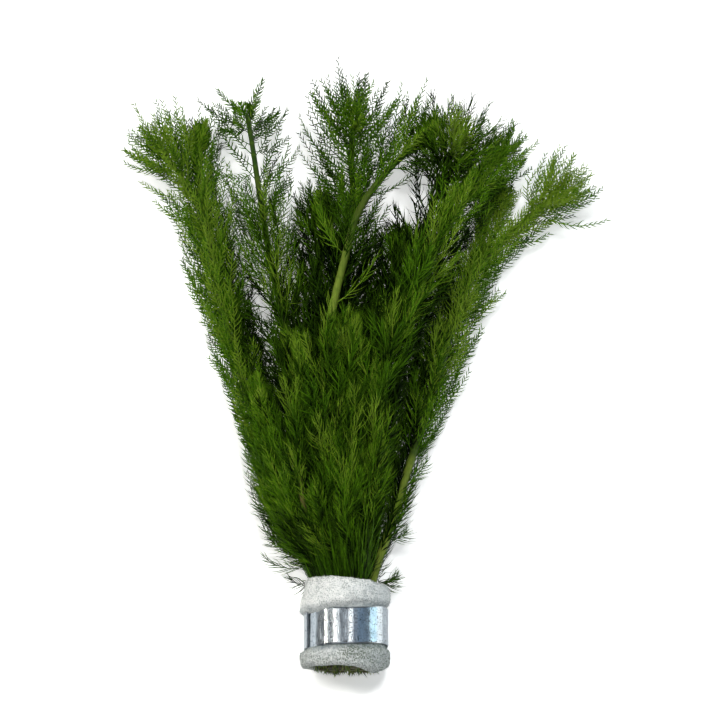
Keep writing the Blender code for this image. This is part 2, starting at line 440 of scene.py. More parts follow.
@dataclass(frozen=True)
class WaterStem:
    """Soft water-plant stem: pale yellow-green between the joints, darker at them, browned if old,
    and deep green in painted shade where leaves cover it.
    """

    pale: str = "#8a9c3a"
    fibre: str = "#607a1e"
    # deep green, the painted shade where leaves cover the stem
    deep: str = "#1f3c0a"
    joint: str = "#46601a"
    browned: str = "#5d5430"
    cut: str = "#4a4526"
    roughness: float = 0.5

    def material(self) -> bpy.types.Material:
        """Builds it from the marks on the stem: joint, age, cut and shade, the last a painted shade,
        with streaks along it.
        """
        material, tree, shader = blank("water_stem")
        place = add(tree, "TexCoord", {}).outputs["Object"]
        # Fibres run along the bunch: 0.25 mm wide and some 4 mm long
        drawn = add(tree, "Mapping", {"Scale": (4000.0, 260.0, 4000.0), "Vector": place}).outputs[0]
        fibres = add(tree, "TexNoise", {"Scale": 1.0, "Detail": 3.0, "Vector": drawn}).outputs["Fac"]
        stops = ((0.3, self.fibre), (0.7, self.pale))
        body = add(tree, "ValToRGB", {"Fac": fibres, "stops": stops}).outputs["Color"]
        for mark, code in (
            ("shade", self.deep), ("joint", self.joint), ("age", self.browned), ("cut", self.cut),
        ):
            level = add(tree, "Attribute", {"attribute_name": mark}).outputs["Fac"]
            body = add(tree, "Mix", {"data_type": "RGBA", 0: level, 6: body, 7: code}).outputs[2]
        relief = add(tree, "Bump", {"Strength": 0.35, "Distance": 0.2 * MM, "Height": fibres})
        feed(
            tree,
            shader,
            {
                "Base Color": body, "Normal": relief.outputs[0], "Roughness": self.roughness,
                "IOR": 1.36, "Specular IOR Level": 0.25,
            },
        )
        return material


@dataclass(frozen=True)
class OpenCellFoam:
    """Cut open-cell foam: white and dull, dotted with little pits in painted shade, grey where water
    sits and in painted shade by the band and on its right.
    """

    crest: str = "#f4f4f1"
    wall: str = "#e0e3e0"
    pit: str = "#989e9a"
    stain: str = "#4c5840"
    # Damp and painted shade: greyer on the upper lip's right, by the band's edges and on the lower
    # lip
    damp_and_shade: str = "#8c979a"
    cell: float = 0.38 * MM
    lumps: float = 420.0  # to a metre, as the clouds are
    clouds: float = 900.0

    def material(self) -> bpy.types.Material:
        """Builds it: painted shade in the pits of white walls, then the clouds of damp and painted
        shade, and of green stain.
        """
        material, tree, shader = blank("open_cell_foam")
        place = add(tree, "TexCoord", {}).outputs["Object"]
        cells, broad, cloud = (
            add(tree, "TexNoise", {"Scale": scale, "Detail": detail, "Vector": place}).outputs["Fac"]
            for scale, detail in ((1 / self.cell, 2.5), (self.lumps, 2.0), (self.clouds, 3.0))
        )
        height = add(
            tree, "Math", {"operation": "MULTIPLY_ADD", 0: broad, 1: 0.3, 2: cells}
        ).outputs[0]
        # Painted shade: the pits are dark and the crests white, with the relief's height
        stops = ((0.50, self.pit), (0.60, self.wall), (0.72, self.crest))
        body = add(tree, "ValToRGB", {"Fac": height, "stops": stops}).outputs["Color"]
        # The stain gathers in the pits
        stops = ((0.40, "#ffffff"), (0.54, "#303030"))
        spots = add(tree, "ValToRGB", {"Fac": cells, "stops": stops}).outputs["Color"]
        # The damp mark is painted shade by the band and on the right, with damp
        for mark, code, where in (("damp_and_shade", self.damp_and_shade, cloud), ("stain", self.stain, spots)):
            level = add(tree, "Attribute", {"attribute_name": mark}).outputs["Fac"]
            soaked = add(
                tree, "Math", {"operation": "MULTIPLY", "use_clamp": True, 0: where, 1: level}
            ).outputs[0]
            body = add(tree, "Mix", {"data_type": "RGBA", 0: soaked, 6: body, 7: code}).outputs[2]
        relief = add(tree, "Bump", {"Strength": 0.9, "Distance": 0.6 * MM, "Height": height})
        feed(tree, shader, {"Base Color": body, "Normal": relief.outputs[0], "Roughness": 0.96})
        return material


@dataclass(frozen=True)
class SoftMetalStrip:
    """Rolled soft metal strip: a painted sheen, bright along some creases and dull grey between,
    rougher where scuffed, with specks.
    """

    tones: tuple[tuple[float, str], ...] = (
        (0.0, "#7d868d"), (0.35, "#a3adb5"), (0.65, "#c3cbd0"), (1.0, "#f3f7f8"),
    )
    speck: str = "#2f3336"
    smooth: float = 0.12
    rough: float = 0.5

    def material(self) -> bpy.types.Material:
        """Builds it from two marks: the painted sheen, a tone that paints its reflections, and scuff,
        its roughness, with fine streaks.
        """
        material, tree, shader = blank("soft_metal_strip")
        place = add(tree, "TexCoord", {}).outputs["Object"]
        # Rubbed streaks run with the creases: 0.3 mm wide and some 3 mm long
        drawn = add(tree, "Mapping", {"Scale": (3200.0, 350.0, 3200.0), "Vector": place}).outputs[0]
        rubbed = add(tree, "TexNoise", {"Scale": 1.0, "Detail": 3.0, "Vector": drawn}).outputs["Fac"]
        painted_sheen, scuff = (
            add(tree, "Attribute", {"attribute_name": mark}).outputs["Fac"]
            for mark in ("painted_sheen", "scuff")
        )
        # Painted sheen: bright and dark streaks in the tone stand for the band's reflections, with
        # rubbed streaks
        varied = add(
            tree, "Math", {"operation": "MULTIPLY_ADD", 0: rubbed, 1: 0.5, 2: painted_sheen}
        ).outputs[0]
        level = add(
            tree, "Math", {"operation": "SUBTRACT", "use_clamp": True, 0: varied, 1: 0.25}
        ).outputs[0]
        body = add(tree, "ValToRGB", {"Fac": level, "stops": self.tones}).outputs["Color"]
        # Specks about 0.5 mm apart
        grains = add(tree, "TexNoise", {"Scale": 1900.0, "Detail": 1.0, "Vector": place})
        stops = ((0.60, "#000000"), (0.68, "#ffffff"))
        dots = add(tree, "ValToRGB", {"Fac": grains.outputs["Fac"], "stops": stops}).outputs["Color"]
        mixed = add(tree, "Mix", {"data_type": "RGBA", 0: dots, 6: body, 7: self.speck}).outputs[2]
        gloss = add(tree, "MapRange", {"Value": scuff, "To Min": self.smooth, "To Max": self.rough})
        relief = add(tree, "Bump", {"Strength": 0.4, "Distance": 0.1 * MM, "Height": rubbed})
        feed(
            tree,
            shader,
            {
                "Base Color": mixed, "Roughness": gloss.outputs[0], "Normal": relief.outputs[0],
                "Metallic": 1.0,
            },
        )
        return material


@dataclass(frozen=True)
class DeadStub:
    """Leaf stubs left in the tie: brown-olive, soft and soaked."""

    tones: tuple[tuple[float, str], ...] = (
        (0.1, "#141c07"), (0.45, "#2e470d"), (0.75, "#567a17"), (1.0, "#9aa648"),
    )

    def material(self) -> bpy.types.Material:
        """Builds it from the stub's tone, with noise along it."""
        material, tree, shader = blank("dead_leaf_stub")
        place = add(tree, "UVMap", {"uv_map": LEAF_UV}).outputs["UV"]
        tone = add(tree, "SeparateXYZ", {"Vector": place}).outputs["Y"]
        mottle = add(tree, "TexNoise", {"Scale": 18.0, "Detail": 3.0, "Vector": place}).outputs["Fac"]
        values = {"operation": "MULTIPLY_ADD", "use_clamp": True, 0: mottle, 1: 0.3, 2: tone}
        mixed = add(tree, "Math", values).outputs[0]
        body = add(tree, "ValToRGB", {"Fac": mixed, "stops": self.tones}).outputs["Color"]
        feed(tree, shader, {"Base Color": body, "Roughness": 0.5})
        return material


@dataclass(frozen=True)
class StudioFloor:
    """Matt white card under the object."""

    shade: str = "#f9f9f8"
    glow: float = 0.5  # light that comes up through the card, as on a light table

    def material(self) -> bpy.types.Material:
        """Builds it: white with the faintest cloudiness of card."""
        material, tree, shader = blank("white_card")
        place = add(tree, "TexCoord", {}).outputs["Object"]
        cloud = add(tree, "TexNoise", {"Scale": 30.0, "Vector": place}).outputs["Fac"]
        stops = ((0.3, "#f4f4f3"), (0.7, self.shade))
        body = add(tree, "ValToRGB", {"Fac": cloud, "stops": stops}).outputs["Color"]
        feed(
            tree,
            shader,
            {
                "Base Color": body, "Emission Color": body, "Emission Strength": self.glow,
                "Roughness": 0.9,
            },
        )
        return material


# The tie


@dataclass(frozen=True)
class Tie:
    """The oval that the foam and the band follow, pressed flat where it rests."""

    half_wide: float = 13.8 * MM
    half_high: float = 13.2 * MM
    axis_height: float = 12.7 * MM
    slant: float = 0.051
    bow: float = 3.6  # per metre
    band_width: float = 12.7 * MM
    band_thick: float = 0.5 * MM
    gap: float = 0.3 * MM

    def swept(
        self, angle: np.ndarray, out: np.ndarray, along: np.ndarray, least: np.ndarray
    ) -> np.ndarray:
        """Places points round the tie.

        x is (half width + out) cos a, z is the axis height + (half height + out) sin a.

        Args:
            angle: where round the oval, in radians.
            out: how far outside the band's face, in metres.
            along: y in metres, before the band's slant.
            least: the lowest z allowed.

        Returns:
            The points, with x, y and z on the last axis.
        """
        x = (self.half_wide + out) * np.cos(angle)
        z = self.axis_height + (self.half_high + out) * np.sin(angle)
        return np.stack([x, along, np.maximum(z, least)], axis=-1)

    def middle(self, angle: np.ndarray) -> np.ndarray:
        """The y of the band's middle at an angle: the band sits askew and bows up at both sides."""
        across = self.half_wide * np.cos(angle)
        return self.slant * across + self.bow * across**2


def swept_strip(loop: np.ndarray) -> np.ndarray:
    """Triangles of a strip whose cross-section loop is carried from one end to the other.

    The loop's first half is the outer face and its second half comes back along the inner face,
    so each end is closed by faces from an outer point to the inner point under it.

    Args:
        loop: the points, as (place along the strip, place on the loop, xyz).

    Returns:
        Vertex numbers, three to a face.
    """
    steps, size, _ = loop.shape
    walls = triangles(grid_quads(steps, size, wrap=True))
    half = size // 2
    place = np.arange(half - 1)
    first = np.stack([place, place + 1, size - 2 - place, size - 1 - place], axis=1)
    start = triangles(first)
    end = triangles(first[:, ::-1]) + (steps - 1) * size
    return np.concatenate([walls, start, end])


@dataclass(frozen=True)
class FoamWrap:
    """One turn of foam strip, swollen past the band at both lips and torn into open cells."""

    tie: Tie
    thick: float = 2.6 * MM
    bulge: float = 1.35 * MM
    bulge_lean: float = 0.75 * MM
    bottom: float = -12.4 * MM
    end_lean: float = 1.1 * MM
    flap: float = 2.2 * MM
    flap_deg: float = 42.0
    top: float = 16.6 * MM
    top_slant: float = -0.08
    seam_deg: float = 228.0
    seam_gap_deg: float = 3.0
    steps: int = 280
    rows: int = 60
    struts: int = 5200
    lump: float = 4.2 * MM
    knob: float = 1.7 * MM
    grain: float = 0.7 * MM
    pit: float = 1.3 * MM
    highest: float = 0.4 * MM
    free_lift: float = 0.6 * MM  # torn walls start this far above the surface

    def profile(self, past: np.ndarray, angle: np.ndarray) -> np.ndarray:
        """How far the slab's middle stands outside the band's face.

        Args:
            past: how far past the band's edge the places are, in metres.
            angle: where they are round the tie. The foam swells most at the left.

        Returns:
            The offset of the slab's middle surface in metres.
        """
        inset = self.tie.band_thick + self.tie.gap
        rise = smoothstep(past, -0.2 * MM, 2.6 * MM)
        fall = smoothstep(past, 4.4 * MM, 10.5 * MM)
        bulge = self.bulge - self.bulge_lean * np.cos(angle)
        return -inset + (inset + bulge) * rise - 1.5 * MM * fall - self.thick / 2

    def build(self, finish: bpy.types.Material) -> bpy.types.Object:
        """Makes the foam.

        The loop is the slab's middle plus and minus its half thickness, which falls to nothing at
        both lips as a quarter circle does. Relief moves the faces by noise and by round pits.

        Args:
            finish: its material.

        Returns:
            The piece.
        """
        half_gap = self.seam_gap_deg / 2
        angle = np.radians(
            np.linspace(self.seam_deg + half_gap, self.seam_deg + 360 - half_gap, self.steps)
        )
        spot = (1 - np.cos(np.pi * (np.arange(self.rows) + 0.5) / self.rows)) / 2
        across = self.tie.half_wide * np.cos(angle)
        high = (self.top + self.top_slant * across)[:, None]
        flap = self.flap * np.maximum(np.cos(angle - math.radians(self.flap_deg)), 0.0) ** 8
        low = (self.bottom - self.end_lean * np.sin(angle) - flap)[:, None]
        y = low + (high - low) * spot
        middle = self.tie.middle(angle)[:, None]
        past = np.abs(y - middle) - self.tie.band_width / 2
        # On the left the foam is squeezed a little over the band's edges, more over the upper one
        squeeze = np.where(y > middle, 2.0 * MM, 0.8 * MM)
        past = past + squeeze * smoothstep(-across, 0 * MM, 13 * MM)[:, None]
        centre = self.profile(past, angle[:, None])
        lip = self.thick / 2
        to_end = np.minimum(y - low, high - y)
        roundness = np.sqrt(np.clip(1 - np.clip(1 - to_end / lip, 0, 1) ** 2, 0.02, 1))
        turn = np.broadcast_to(angle[:, None], y.shape)
        outer_out = centre + lip * roundness
        inner_out = centre - lip * roundness
        free = smoothstep(past, -0.3 * MM, 1.0 * MM)
        flat = self.tie.swept(turn, outer_out, y, np.zeros_like(y))
        lumps = 0.40 * noise(flat, self.lump) + 0.26 * noise(flat, self.knob)
        fine = 0.22 * noise(flat, self.grain)
        pits = -0.36 * smoothstep(1 - cell_distance(flat, self.pit), 0.62, 0.9)
        relief = (lumps * (0.15 + 0.85 * free) + fine + pits * free) * MM
        relief = relief - 0.10 * MM * (1 - free)
        outer_out = outer_out + np.minimum(relief, self.highest)
        rests = (1 - free) * (self.tie.band_thick + self.tie.gap)
        wavy = y + 0.30 * MM * noise(flat, 1.3 * MM) + 0.25 * MM * noise(flat, 4.0 * MM)
        outer = self.tie.swept(turn, outer_out, wavy, rests + lip * (1 - roundness))
        inner = self.tie.swept(turn, inner_out, y, rests + lip * (1 + roundness))
        loop = np.concatenate([outer, inner[:, ::-1]], axis=1)
        sheet = Shape(loop.reshape(-1, 3), swept_strip(loop), marks=self.marks(loop.reshape(-1, 3)))
        piece = Shape.joined([sheet, self.fuzz(outer, free)]).piece("foam_strip", finish, "foam")
        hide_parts("foam_wrap")
        return piece

    def marks(self, points: np.ndarray) -> dict[str, np.ndarray]:
        """Where the foam is damp or in painted shade, and where it is stained, at each point.

        Args:
            points: places on the foam.

        Returns:
            The two marks: damp and painted shade, on the upper lip's right, by the band's edges and
                on the lower lip; stain low on the right.
        """
        x, y = points[:, 0] / MM, points[:, 1] / MM
        cloud = noise(points, 5 * MM)
        middle = self.tie.middle(np.arccos(np.clip(points[:, 0] / self.tie.half_wide, -1, 1))) / MM
        # Painted shade by the band's edges and on the upper lip's right, away from the key light
        band_edge_shade = 1 - smoothstep(np.abs(y - middle) - 6.4 + 0.5 * cloud, 0.2, 2.6)
        right = smoothstep(x + 4 * cloud, -2.0, 9.0)
        lower = 1 - smoothstep(y, -6.0, -4.0)
        damp_and_shade = 0.15 + 0.5 * right * (1 - lower) + 0.8 * band_edge_shade + lower * (0.6 + 0.3 * right)
        patch = np.exp(-(((x - 2.2) / 3.6) ** 2) - ((y + 8.6) / 2.4) ** 2)
        clean = np.exp(-(((x + 6.0) / 4.0) ** 2) - ((y + 8.4) / 2.0) ** 2)
        stain = lower * (0.7 + 1.2 * patch + 0.2 * right - 0.6 * clean)
        stain += 0.35 * smoothstep(y + cloud, 14.0, 17.0)
        return {"damp_and_shade": np.clip(damp_and_shade, 0, 1.7), "stain": np.clip(stain, 0, 1.6)}

    def fuzz(self, outer: np.ndarray, free: np.ndarray) -> Shape:
        """Torn cell walls: tiny spikes that stand on the outer face, thickest at the lips.

        Args:
            outer: the outer face's points, as (place round, place along, xyz).
            free: 1 where the face isn't under the band.

        Returns:
            The spikes, with the foam's marks.
        """
        rng = np.random.default_rng(7)
        steps, rows, _ = outer.shape
        place = rng.integers(1, steps - 1, self.struts)
        row = rng.integers(1, rows - 1, self.struts)
        kept = (free[place, row] > 0.5) & (outer[place, row, 2] > self.free_lift)
        place, row = place[kept], row[kept]
        root = outer[place, row]
        along = outer[place, row + 1] - outer[place, row - 1]
        around = outer[place + 1, row] - outer[place - 1, row]
        outward = unit(np.cross(along, around))
        away = root - np.array([0.0, 0.0, self.tie.axis_height])
        outward *= np.where((outward * away).sum(axis=1, keepdims=True) < 0, -1, 1)
        heading = unit(outward + rng.normal(0, 0.8, outward.shape))
        length = rng.uniform(0.25, 0.65, (len(root), 1)) * MM
        path = np.stack([root - 0.1 * MM * outward, root + length * heading], axis=1)
        shape = spikes(
            path,
            rng.uniform(0.07, 0.13, (len(root), 1)) * MM,
            rng.normal(0, 1, root.shape),
            np.zeros((len(root), 2)),
            np.full(len(root), 0.5),
        )
        return Shape(shape.points, shape.faces, marks=self.marks(shape.points))


@dataclass(frozen=True)
class WeightBand:
    """The metal strip, wound by hand: one turn and a lap, pressed into long creases.

    creases holds (degrees round the tie, height in mm, painted sheen, scuff): the strip is flat
    between them, and its tone, a painted sheen that stands for reflections, and its roughness run
    from one to the next.
    """

    tie: Tie
    lap_deg: tuple[float, float] = (158.0, 205.0)
    climb_deg: float = 40.0
    steps: int = 440
    rows: int = 14
    rolled: float = 0.26 * MM  # the long edges are rounded over this width
    creases: tuple[tuple[float, float, float, float], ...] = (
        (-202, 0.05, 0.10, 0.5), (-190, 0.12, 0.10, 0.5), (-175, 0.04, 0.20, 0.4),
        (-120, 0.10, 0.50, 0.4), (-60, 0.02, 0.50, 0.4), (-8, 0.06, 0.10, 0.5),
        (12, 0.16, 0.10, 0.5), (27, 0.05, 0.10, 0.5), (30, 0.08, 0.15, 0.4),
        (33, 0.12, 0.60, 0.4), (45, 0.20, 0.80, 0.3), (57, 0.12, 0.90, 0.2),
        (61, 0.05, 0.50, 0.2), (70, 0.02, 0.42, 0.15), (80, 0.05, 0.42, 0.12),
        (82, 0.08, 0.75, 0.30), (88.5, 0.08, 0.75, 0.30), (90.5, 0.04, 0.45, 0.2),
        (98, 0.04, 0.35, 0.2), (103, 0.05, 0.70, 0.30), (110, 0.11, 0.80, 0.3),
        (112, 0.05, 0.45, 0.25), (117, 0.05, 0.45, 0.25), (118.5, 0.11, 0.98, 0.3),
        (123.5, 0.11, 0.98, 0.3), (125.5, 0.06, 0.40, 0.2), (129, 0.03, 0.40, 0.2),
        (140, 0.14, 0.40, 0.3), (148, 0.04, 0.20, 0.2), (163, 0.10, 0.40, 0.4),
        (205, 0.05, 0.20, 0.4),
    )

    def build(self, finish: bpy.types.Material) -> bpy.types.Object:
        """Makes the band.

        Its offset is a polyline between the creases' heights, plus gentle dents.

        Args:
            finish: its material.

        Returns:
            The piece.
        """
        free_end, hidden_end = self.lap_deg
        degrees = np.linspace(free_end - 360, hidden_end, self.steps)
        table = np.array(self.creases)
        height, painted_sheen, scuff = (np.interp(degrees, table[:, 0], column) for column in table[:, 1:].T)
        lift = self.tie.band_thick + self.tie.gap
        climbed = np.clip((hidden_end - 360 + self.climb_deg - degrees) / self.climb_deg, 0.0, 1.0)
        half = self.tie.band_thick / 2
        spot = np.sin(np.pi * (np.arange(self.rows) / (self.rows - 1) - 0.5))
        y = self.tie.band_width / 2 * spot
        edge = np.clip((np.abs(y) - 6.1 * MM) / self.rolled, 0, 1)
        thin = half * np.sqrt(np.clip(1 - edge**2, 0.1, 1))
        turn = np.radians(degrees)[:, None] + np.zeros_like(y)
        middle = self.tie.middle(turn)
        flat = self.tie.swept(turn, np.zeros_like(turn), middle + y, np.zeros_like(turn))
        dents = 0.06 * MM * noise(flat, 4.5 * MM) + 0.03 * MM * noise(flat, 1.8 * MM)
        wave = 0.25 * MM * noise(flat * np.array([1.0, 0.0, 1.0]), 5.0 * MM) * np.abs(spot) ** 3
        centre = lift * climbed[:, None] + height[:, None] * MM + dents - half
        outer, inner = (
            self.tie.swept(
                turn, centre + side * thin, middle + y + wave,
                np.broadcast_to(half - side * thin, turn.shape),
            )
            for side in (1.0, -1.0)
        )
        loop = np.concatenate([outer, inner[:, ::-1]], axis=1)
        marks = {
            # the painted sheen: a tone that paints reflections along the creases
            "painted_sheen": np.repeat(painted_sheen, 2 * self.rows) + 0.10 * noise(loop, 2.6 * MM).ravel(),
            "scuff": np.repeat(scuff, 2 * self.rows),
        }
        shape = Shape(loop.reshape(-1, 3), swept_strip(loop), marks=marks)
        piece = shape.piece("metal_strip", finish, "metal_strip")
        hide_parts("weight_band")
        return piece


# The shoots


class Habit(Enum):
    """How a plume's leaves are held: as (least, most) share of their full opening."""

    FRESH = (0.80, 1.10)
    CLUNG = (0.70, 1.00)
    PRESSED = (0.60, 0.90)


@dataclass(frozen=True)
class Shoot:
    """One cut shoot, along the route that its solid was lofted on.

    stalk is (across, height) of its place in the tie, and route holds (across, along, height,
    spread), all in millimetres. crown is how far the last leaves reach past the stem's tip. tone
    moves its leaves from dark, 0, to pale, 1, and fresh is how much paler its last 6 mm are. age
    is how browned its stem is, stem its radius and step the space between whorls, both in mm.
    Leaves cover the stem but for the part that bare names, as (from, to) along the bunch in mm,
    and shade is that part's depth of colour. Past sparse, in mm along the bunch, it has lost some
    leaves. girth is its needles' thickness. Up to shaded, in mm along the bunch, other shoots lie
    over it. gap is (from, to, side): there, in mm along the bunch, it has few leaves at its left,
    side -1, or its right, side 1. strays are single leaves that stick out, as (along the bunch in
    mm, degrees round the stem from its right side, length in mm, degrees off the stem).
    """

    name: str
    stalk: tuple[float, float]
    route: tuple[tuple[float, float, float, float], ...]
    crown: float
    tone: float = 0.4
    fresh: float = 0.0
    age: float = 0.1
    stem: float = 1.2
    shade: float = 0.8
    step: float = 4.3
    girth: float = 1.0
    shaded: float = 115.0
    gap: tuple[float, float, float] = (0.0, 0.0, 1.0)
    habit: Habit = Habit.FRESH
    sparse: float = 999.0
    bare: tuple[float, float] = (0.0, 0.0)
    strays: tuple[tuple[float, float, float, float], ...] = ()


SHOOTS = (
    Shoot(
        "left_outer_shoot", (-8.45, 12.7), (
            (-17.5, 28, 13, 7.5), (-27.5, 55, 13, 5.5), (-34, 80, 13, 8), (-42, 110, 12, 12),
            (-46.5, 132, 12, 13.5), (-49.5, 144, 13, 14.5), (-56, 156, 16, 16),
            (-63.5, 165, 21, 17),
        ), 12, tone=0.42, stem=1.2,
        strays=((19, 180, 11, 66), (23, 182, 16, 40)),
    ),
    Shoot(
        "left_back_shoot", (-6, 8.4), (
            (-19, 40, 6, 6), (-27, 68, 5, 7), (-36.5, 99, 5, 7), (-45.5, 130, 5, 7),
            (-50.5, 154, 6, 7.5), (-52, 167, 8, 8), (-51, 172, 9.5, 8),
        ), 5, tone=0.34, stem=0.9, step=4.2, girth=1.4, sparse=146,
        strays=(
            (150, 0, 25, 24), (154, 180, 24, 14), (158, 0, 25, 10), (161, 5, 24, 24),
            (163, 180, 22, 8), (166, 0, 20, 34),
        ),
    ),
    Shoot(
        "left_inner_shoot", (-5.07, 12.7), (
            (-7.5, 31, 14, 7), (-10, 55, 15, 8.5), (-14.5, 79, 15, 10), (-22.5, 111, 15, 11),
            (-27.5, 135, 15, 11), (-30, 151, 15, 13.5), (-32.5, 168, 15, 16.5),
            (-34.5, 180, 16, 16),
        ), 3, tone=0.37, stem=1.35, sparse=150, bare=(142, 190), shade=0.95,
        strays=(
            (88, 180, 24, 50), (94, 175, 25, 50), (100, 185, 25, 52), (106, 180, 25, 50),
            (112, 178, 24, 52), (118, 182, 24, 54), (124, 180, 22, 56),
            (175, 180, 19, 60), (176, 0, 11, 86), (174, 185, 10, 88), (171, 5, 16, 66),
            (166, 0, 13, 82), (159, 178, 16, 86), (155, 4, 18, 62), (146, 182, 18, 74),
            (145, 0, 15, 52), (138, 175, 14, 60), (180, 170, 12, 50), (181, 20, 12, 40),
        ),
    ),
    Shoot(
        "left_short_shoot", (-6, 17), (
            (-12.5, 24, 17.5, 5.5), (-19.5, 42, 18, 8), (-25, 60, 18, 8.5), (-29, 78, 16, 8.5),
        ), 7, tone=0.30, stem=1.0, habit=Habit.PRESSED,
    ),
    Shoot(
        "left_front_shoot", (-2, 17), (
            (-9, 28, 21, 7), (-14.5, 41, 22.5, 8), (-16.5, 67, 23, 9), (-17.5, 92, 22, 10),
        ), 8, tone=0.31, age=0.9, stem=0.9, habit=Habit.CLUNG, bare=(24, 46),
    ),
    Shoot(
        "centre_left_shoot", (-2, 8.4), (
            (-6, 33, 6, 7), (-9, 61, 5.5, 8), (-10, 92, 6, 9.5), (-9.5, 116, 7, 10.5),
            (-9, 133, 8, 11.5), (-9, 146, 9, 11.5),
        ), 8, tone=0.22, fresh=0.12, stem=1.0, girth=1.4, shaded=122,
    ),
    Shoot(
        "centre_fan_shoot", (-1.69, 12.7), (
            (-2.5, 38, 13, 7), (-2.5, 66, 13, 9), (-1.5, 97, 13, 10), (0, 125, 13, 12),
            (1.5, 147, 15, 14.5), (1.5, 164, 19, 17.5), (2, 175, 27, 21.5),
        ), 14, tone=0.30, stem=1.2, step=3.8,
        strays=(
            (150, 180, 25, 52), (154, 175, 26, 48), (158, 185, 27, 44), (162, 180, 28, 38),
            (146, 180, 22, 44), (140, 182, 20, 42), (166, 178, 27, 34),
        ),
    ),
    Shoot(
        "centre_right_shoot", (2, 17), (
            (-6, 30, 21, 6), (-7, 46, 23, 8), (-7.5, 77, 25.5, 9), (-6, 103, 26, 10.5),
            (-1.5, 124, 26, 11.5), (4, 143, 25.5, 12), (13.5, 157, 24, 13.5),
            (25.5, 169, 21, 14.5),
        ), 11, tone=0.37, stem=1.6, step=4.4, bare=(92, 160), shade=0.35, gap=(124, 156, 1),
        strays=(
            (148, 180, 25, 50), (153, 172, 27, 50), (157, 186, 28, 44), (161, 180, 27, 40),
            (165, 178, 26, 30), (150, 190, 18, 62),
        ),
    ),
    Shoot(
        "short_front_shoot", (6, 17), (
            (1, 28, 21.5, 5), (0.5, 50, 25, 7.5), (1, 74, 26, 8.5), (0.5, 96, 26, 9),
        ), 8, tone=0.32, stem=1.0, habit=Habit.CLUNG,
    ),
    Shoot(
        "middle_shoot", (2, 8.4), (
            (0.5, 33, 6, 7), (1.5, 57, 5.5, 8), (6, 85, 6, 9.5), (12, 109, 8, 11),
            (15.5, 124, 8, 11), (18, 134, 9, 10.5),
        ), 7, tone=0.22, fresh=0.12, stem=1.0, girth=1.4, shaded=115,
    ),
    Shoot(
        "right_crown_shoot", (1.69, 12.7), (
            (4, 31, 13, 6.5), (6, 66, 13, 8), (13, 97, 13, 10), (20, 120, 13, 11),
            (27, 142, 14, 12), (32.5, 156, 18, 15), (36.5, 165, 27, 18.5),
        ), 16, tone=-0.18, fresh=0.56, stem=1.1, girth=1.25, step=3.6, shaded=158,
        gap=(118, 152, -1),
    ),
    Shoot(
        "right_feather_shoot", (5.07, 12.7), (
            (6.5, 29, 16, 5.5), (9, 60, 24, 8), (11, 81, 26, 9.5), (17, 100, 27, 10),
            (26, 119, 27, 10.5), (34.5, 138, 25, 11.5), (44, 152, 22, 13.5), (51.5, 162, 19, 13.5),
        ), 12, tone=0.34, stem=1.2, habit=Habit.CLUNG,
    ),
    Shoot(
        "right_back_shoot", (6, 8.4), (
            (7, 29, 6, 5), (12.5, 54, 5.5, 6.5), (22, 81, 5.5, 8), (34, 109, 5.5, 9),
            (44.5, 131, 6, 8), (48.5, 144, 7, 8.5), (51.5, 153, 9, 8),
        ), 5, tone=0.64, stem=0.9, step=4.6, girth=1.4,
    ),
    Shoot(
        "right_outer_shoot", (8.45, 12.7), (
            (13.5, 33, 13, 4.5), (20, 54, 13, 6), (28, 79, 13, 10), (36, 105, 13, 13),
            (44, 125, 13, 11), (53, 135.5, 13, 11), (62, 143.5, 14, 12), (71, 150, 17, 14),
        ), 15, tone=0.48, stem=1.4, bare=(8, 62), shade=0.2, gap=(116, 144, -1),
        strays=((17, 0, 8, 70), (19, 12, 9, 82), (32, 0, 7, 55)),
    ),
)


def sampled(points: np.ndarray, step: float) -> np.ndarray:
    """Points on a smooth curve through the given ones: each span is a cubic Hermite curve.

    Args:
        points: rows of x, y, z and spread.
        step: spacing of the result in metres.

    Returns:
        Rows of x, y, z and spread.
    """
    gaps = np.linalg.norm(np.diff(points[:, :3], axis=0), axis=1)
    along = np.concatenate([[0.0], np.cumsum(gaps)])
    slope = np.gradient(points, along, axis=0)
    read = np.linspace(0.0, along[-1], int(along[-1] / step) + 1)
    span = np.clip(np.searchsorted(along, read, side="right") - 1, 0, len(along) - 2)
    width = gaps[span][:, None]
    x = (read - along[span])[:, None] / width
    return (
        (1 + 2 * x) * (1 - x) ** 2 * points[span]
        + x * (1 - x) ** 2 * width * slope[span]
        + x**2 * (3 - 2 * x) * points[span + 1]
        - x**2 * (1 - x) * width * slope[span + 1]
    )


def read_rows(place: np.ndarray, places: np.ndarray, rows: np.ndarray) -> np.ndarray:
    """Linear interpolation of every column of rows.

    Args:
        place: where to read.
        places: where the rows stand, rising.
        rows: the values, a row for each of places.

    Returns:
        A row for each of place.
    """
    return np.stack([np.interp(place, places, column) for column in rows.T], axis=-1)


@dataclass
class Leaves:
    """Where a set of leaves springs from, and how each is held. Every field has one row a leaf.

    curl is how far a leaf's heading turns back towards the stem, as a share of its lean. sunk is
    1 for a leaf inside the bunch and 0 for one at its edge or top. girth is its needles'
    thickness. lit is true for the fresh, pale leaves, painted as in light, and false for the wet,
    dark ones, painted in shade. tone carries that painted light and shade too.
    """

    root: np.ndarray
    forward: np.ndarray
    radial: np.ndarray
    length: np.ndarray
    lean: np.ndarray
    curl: np.ndarray
    opening: np.ndarray
    sunk: np.ndarray
    girth: np.ndarray
    lit: np.ndarray
    tone: np.ndarray

    def those(self, kept: np.ndarray) -> Leaves:
        """The leaves that kept is true for."""
        return Leaves(*(getattr(self, field)[kept] for field in self.__dataclass_fields__))


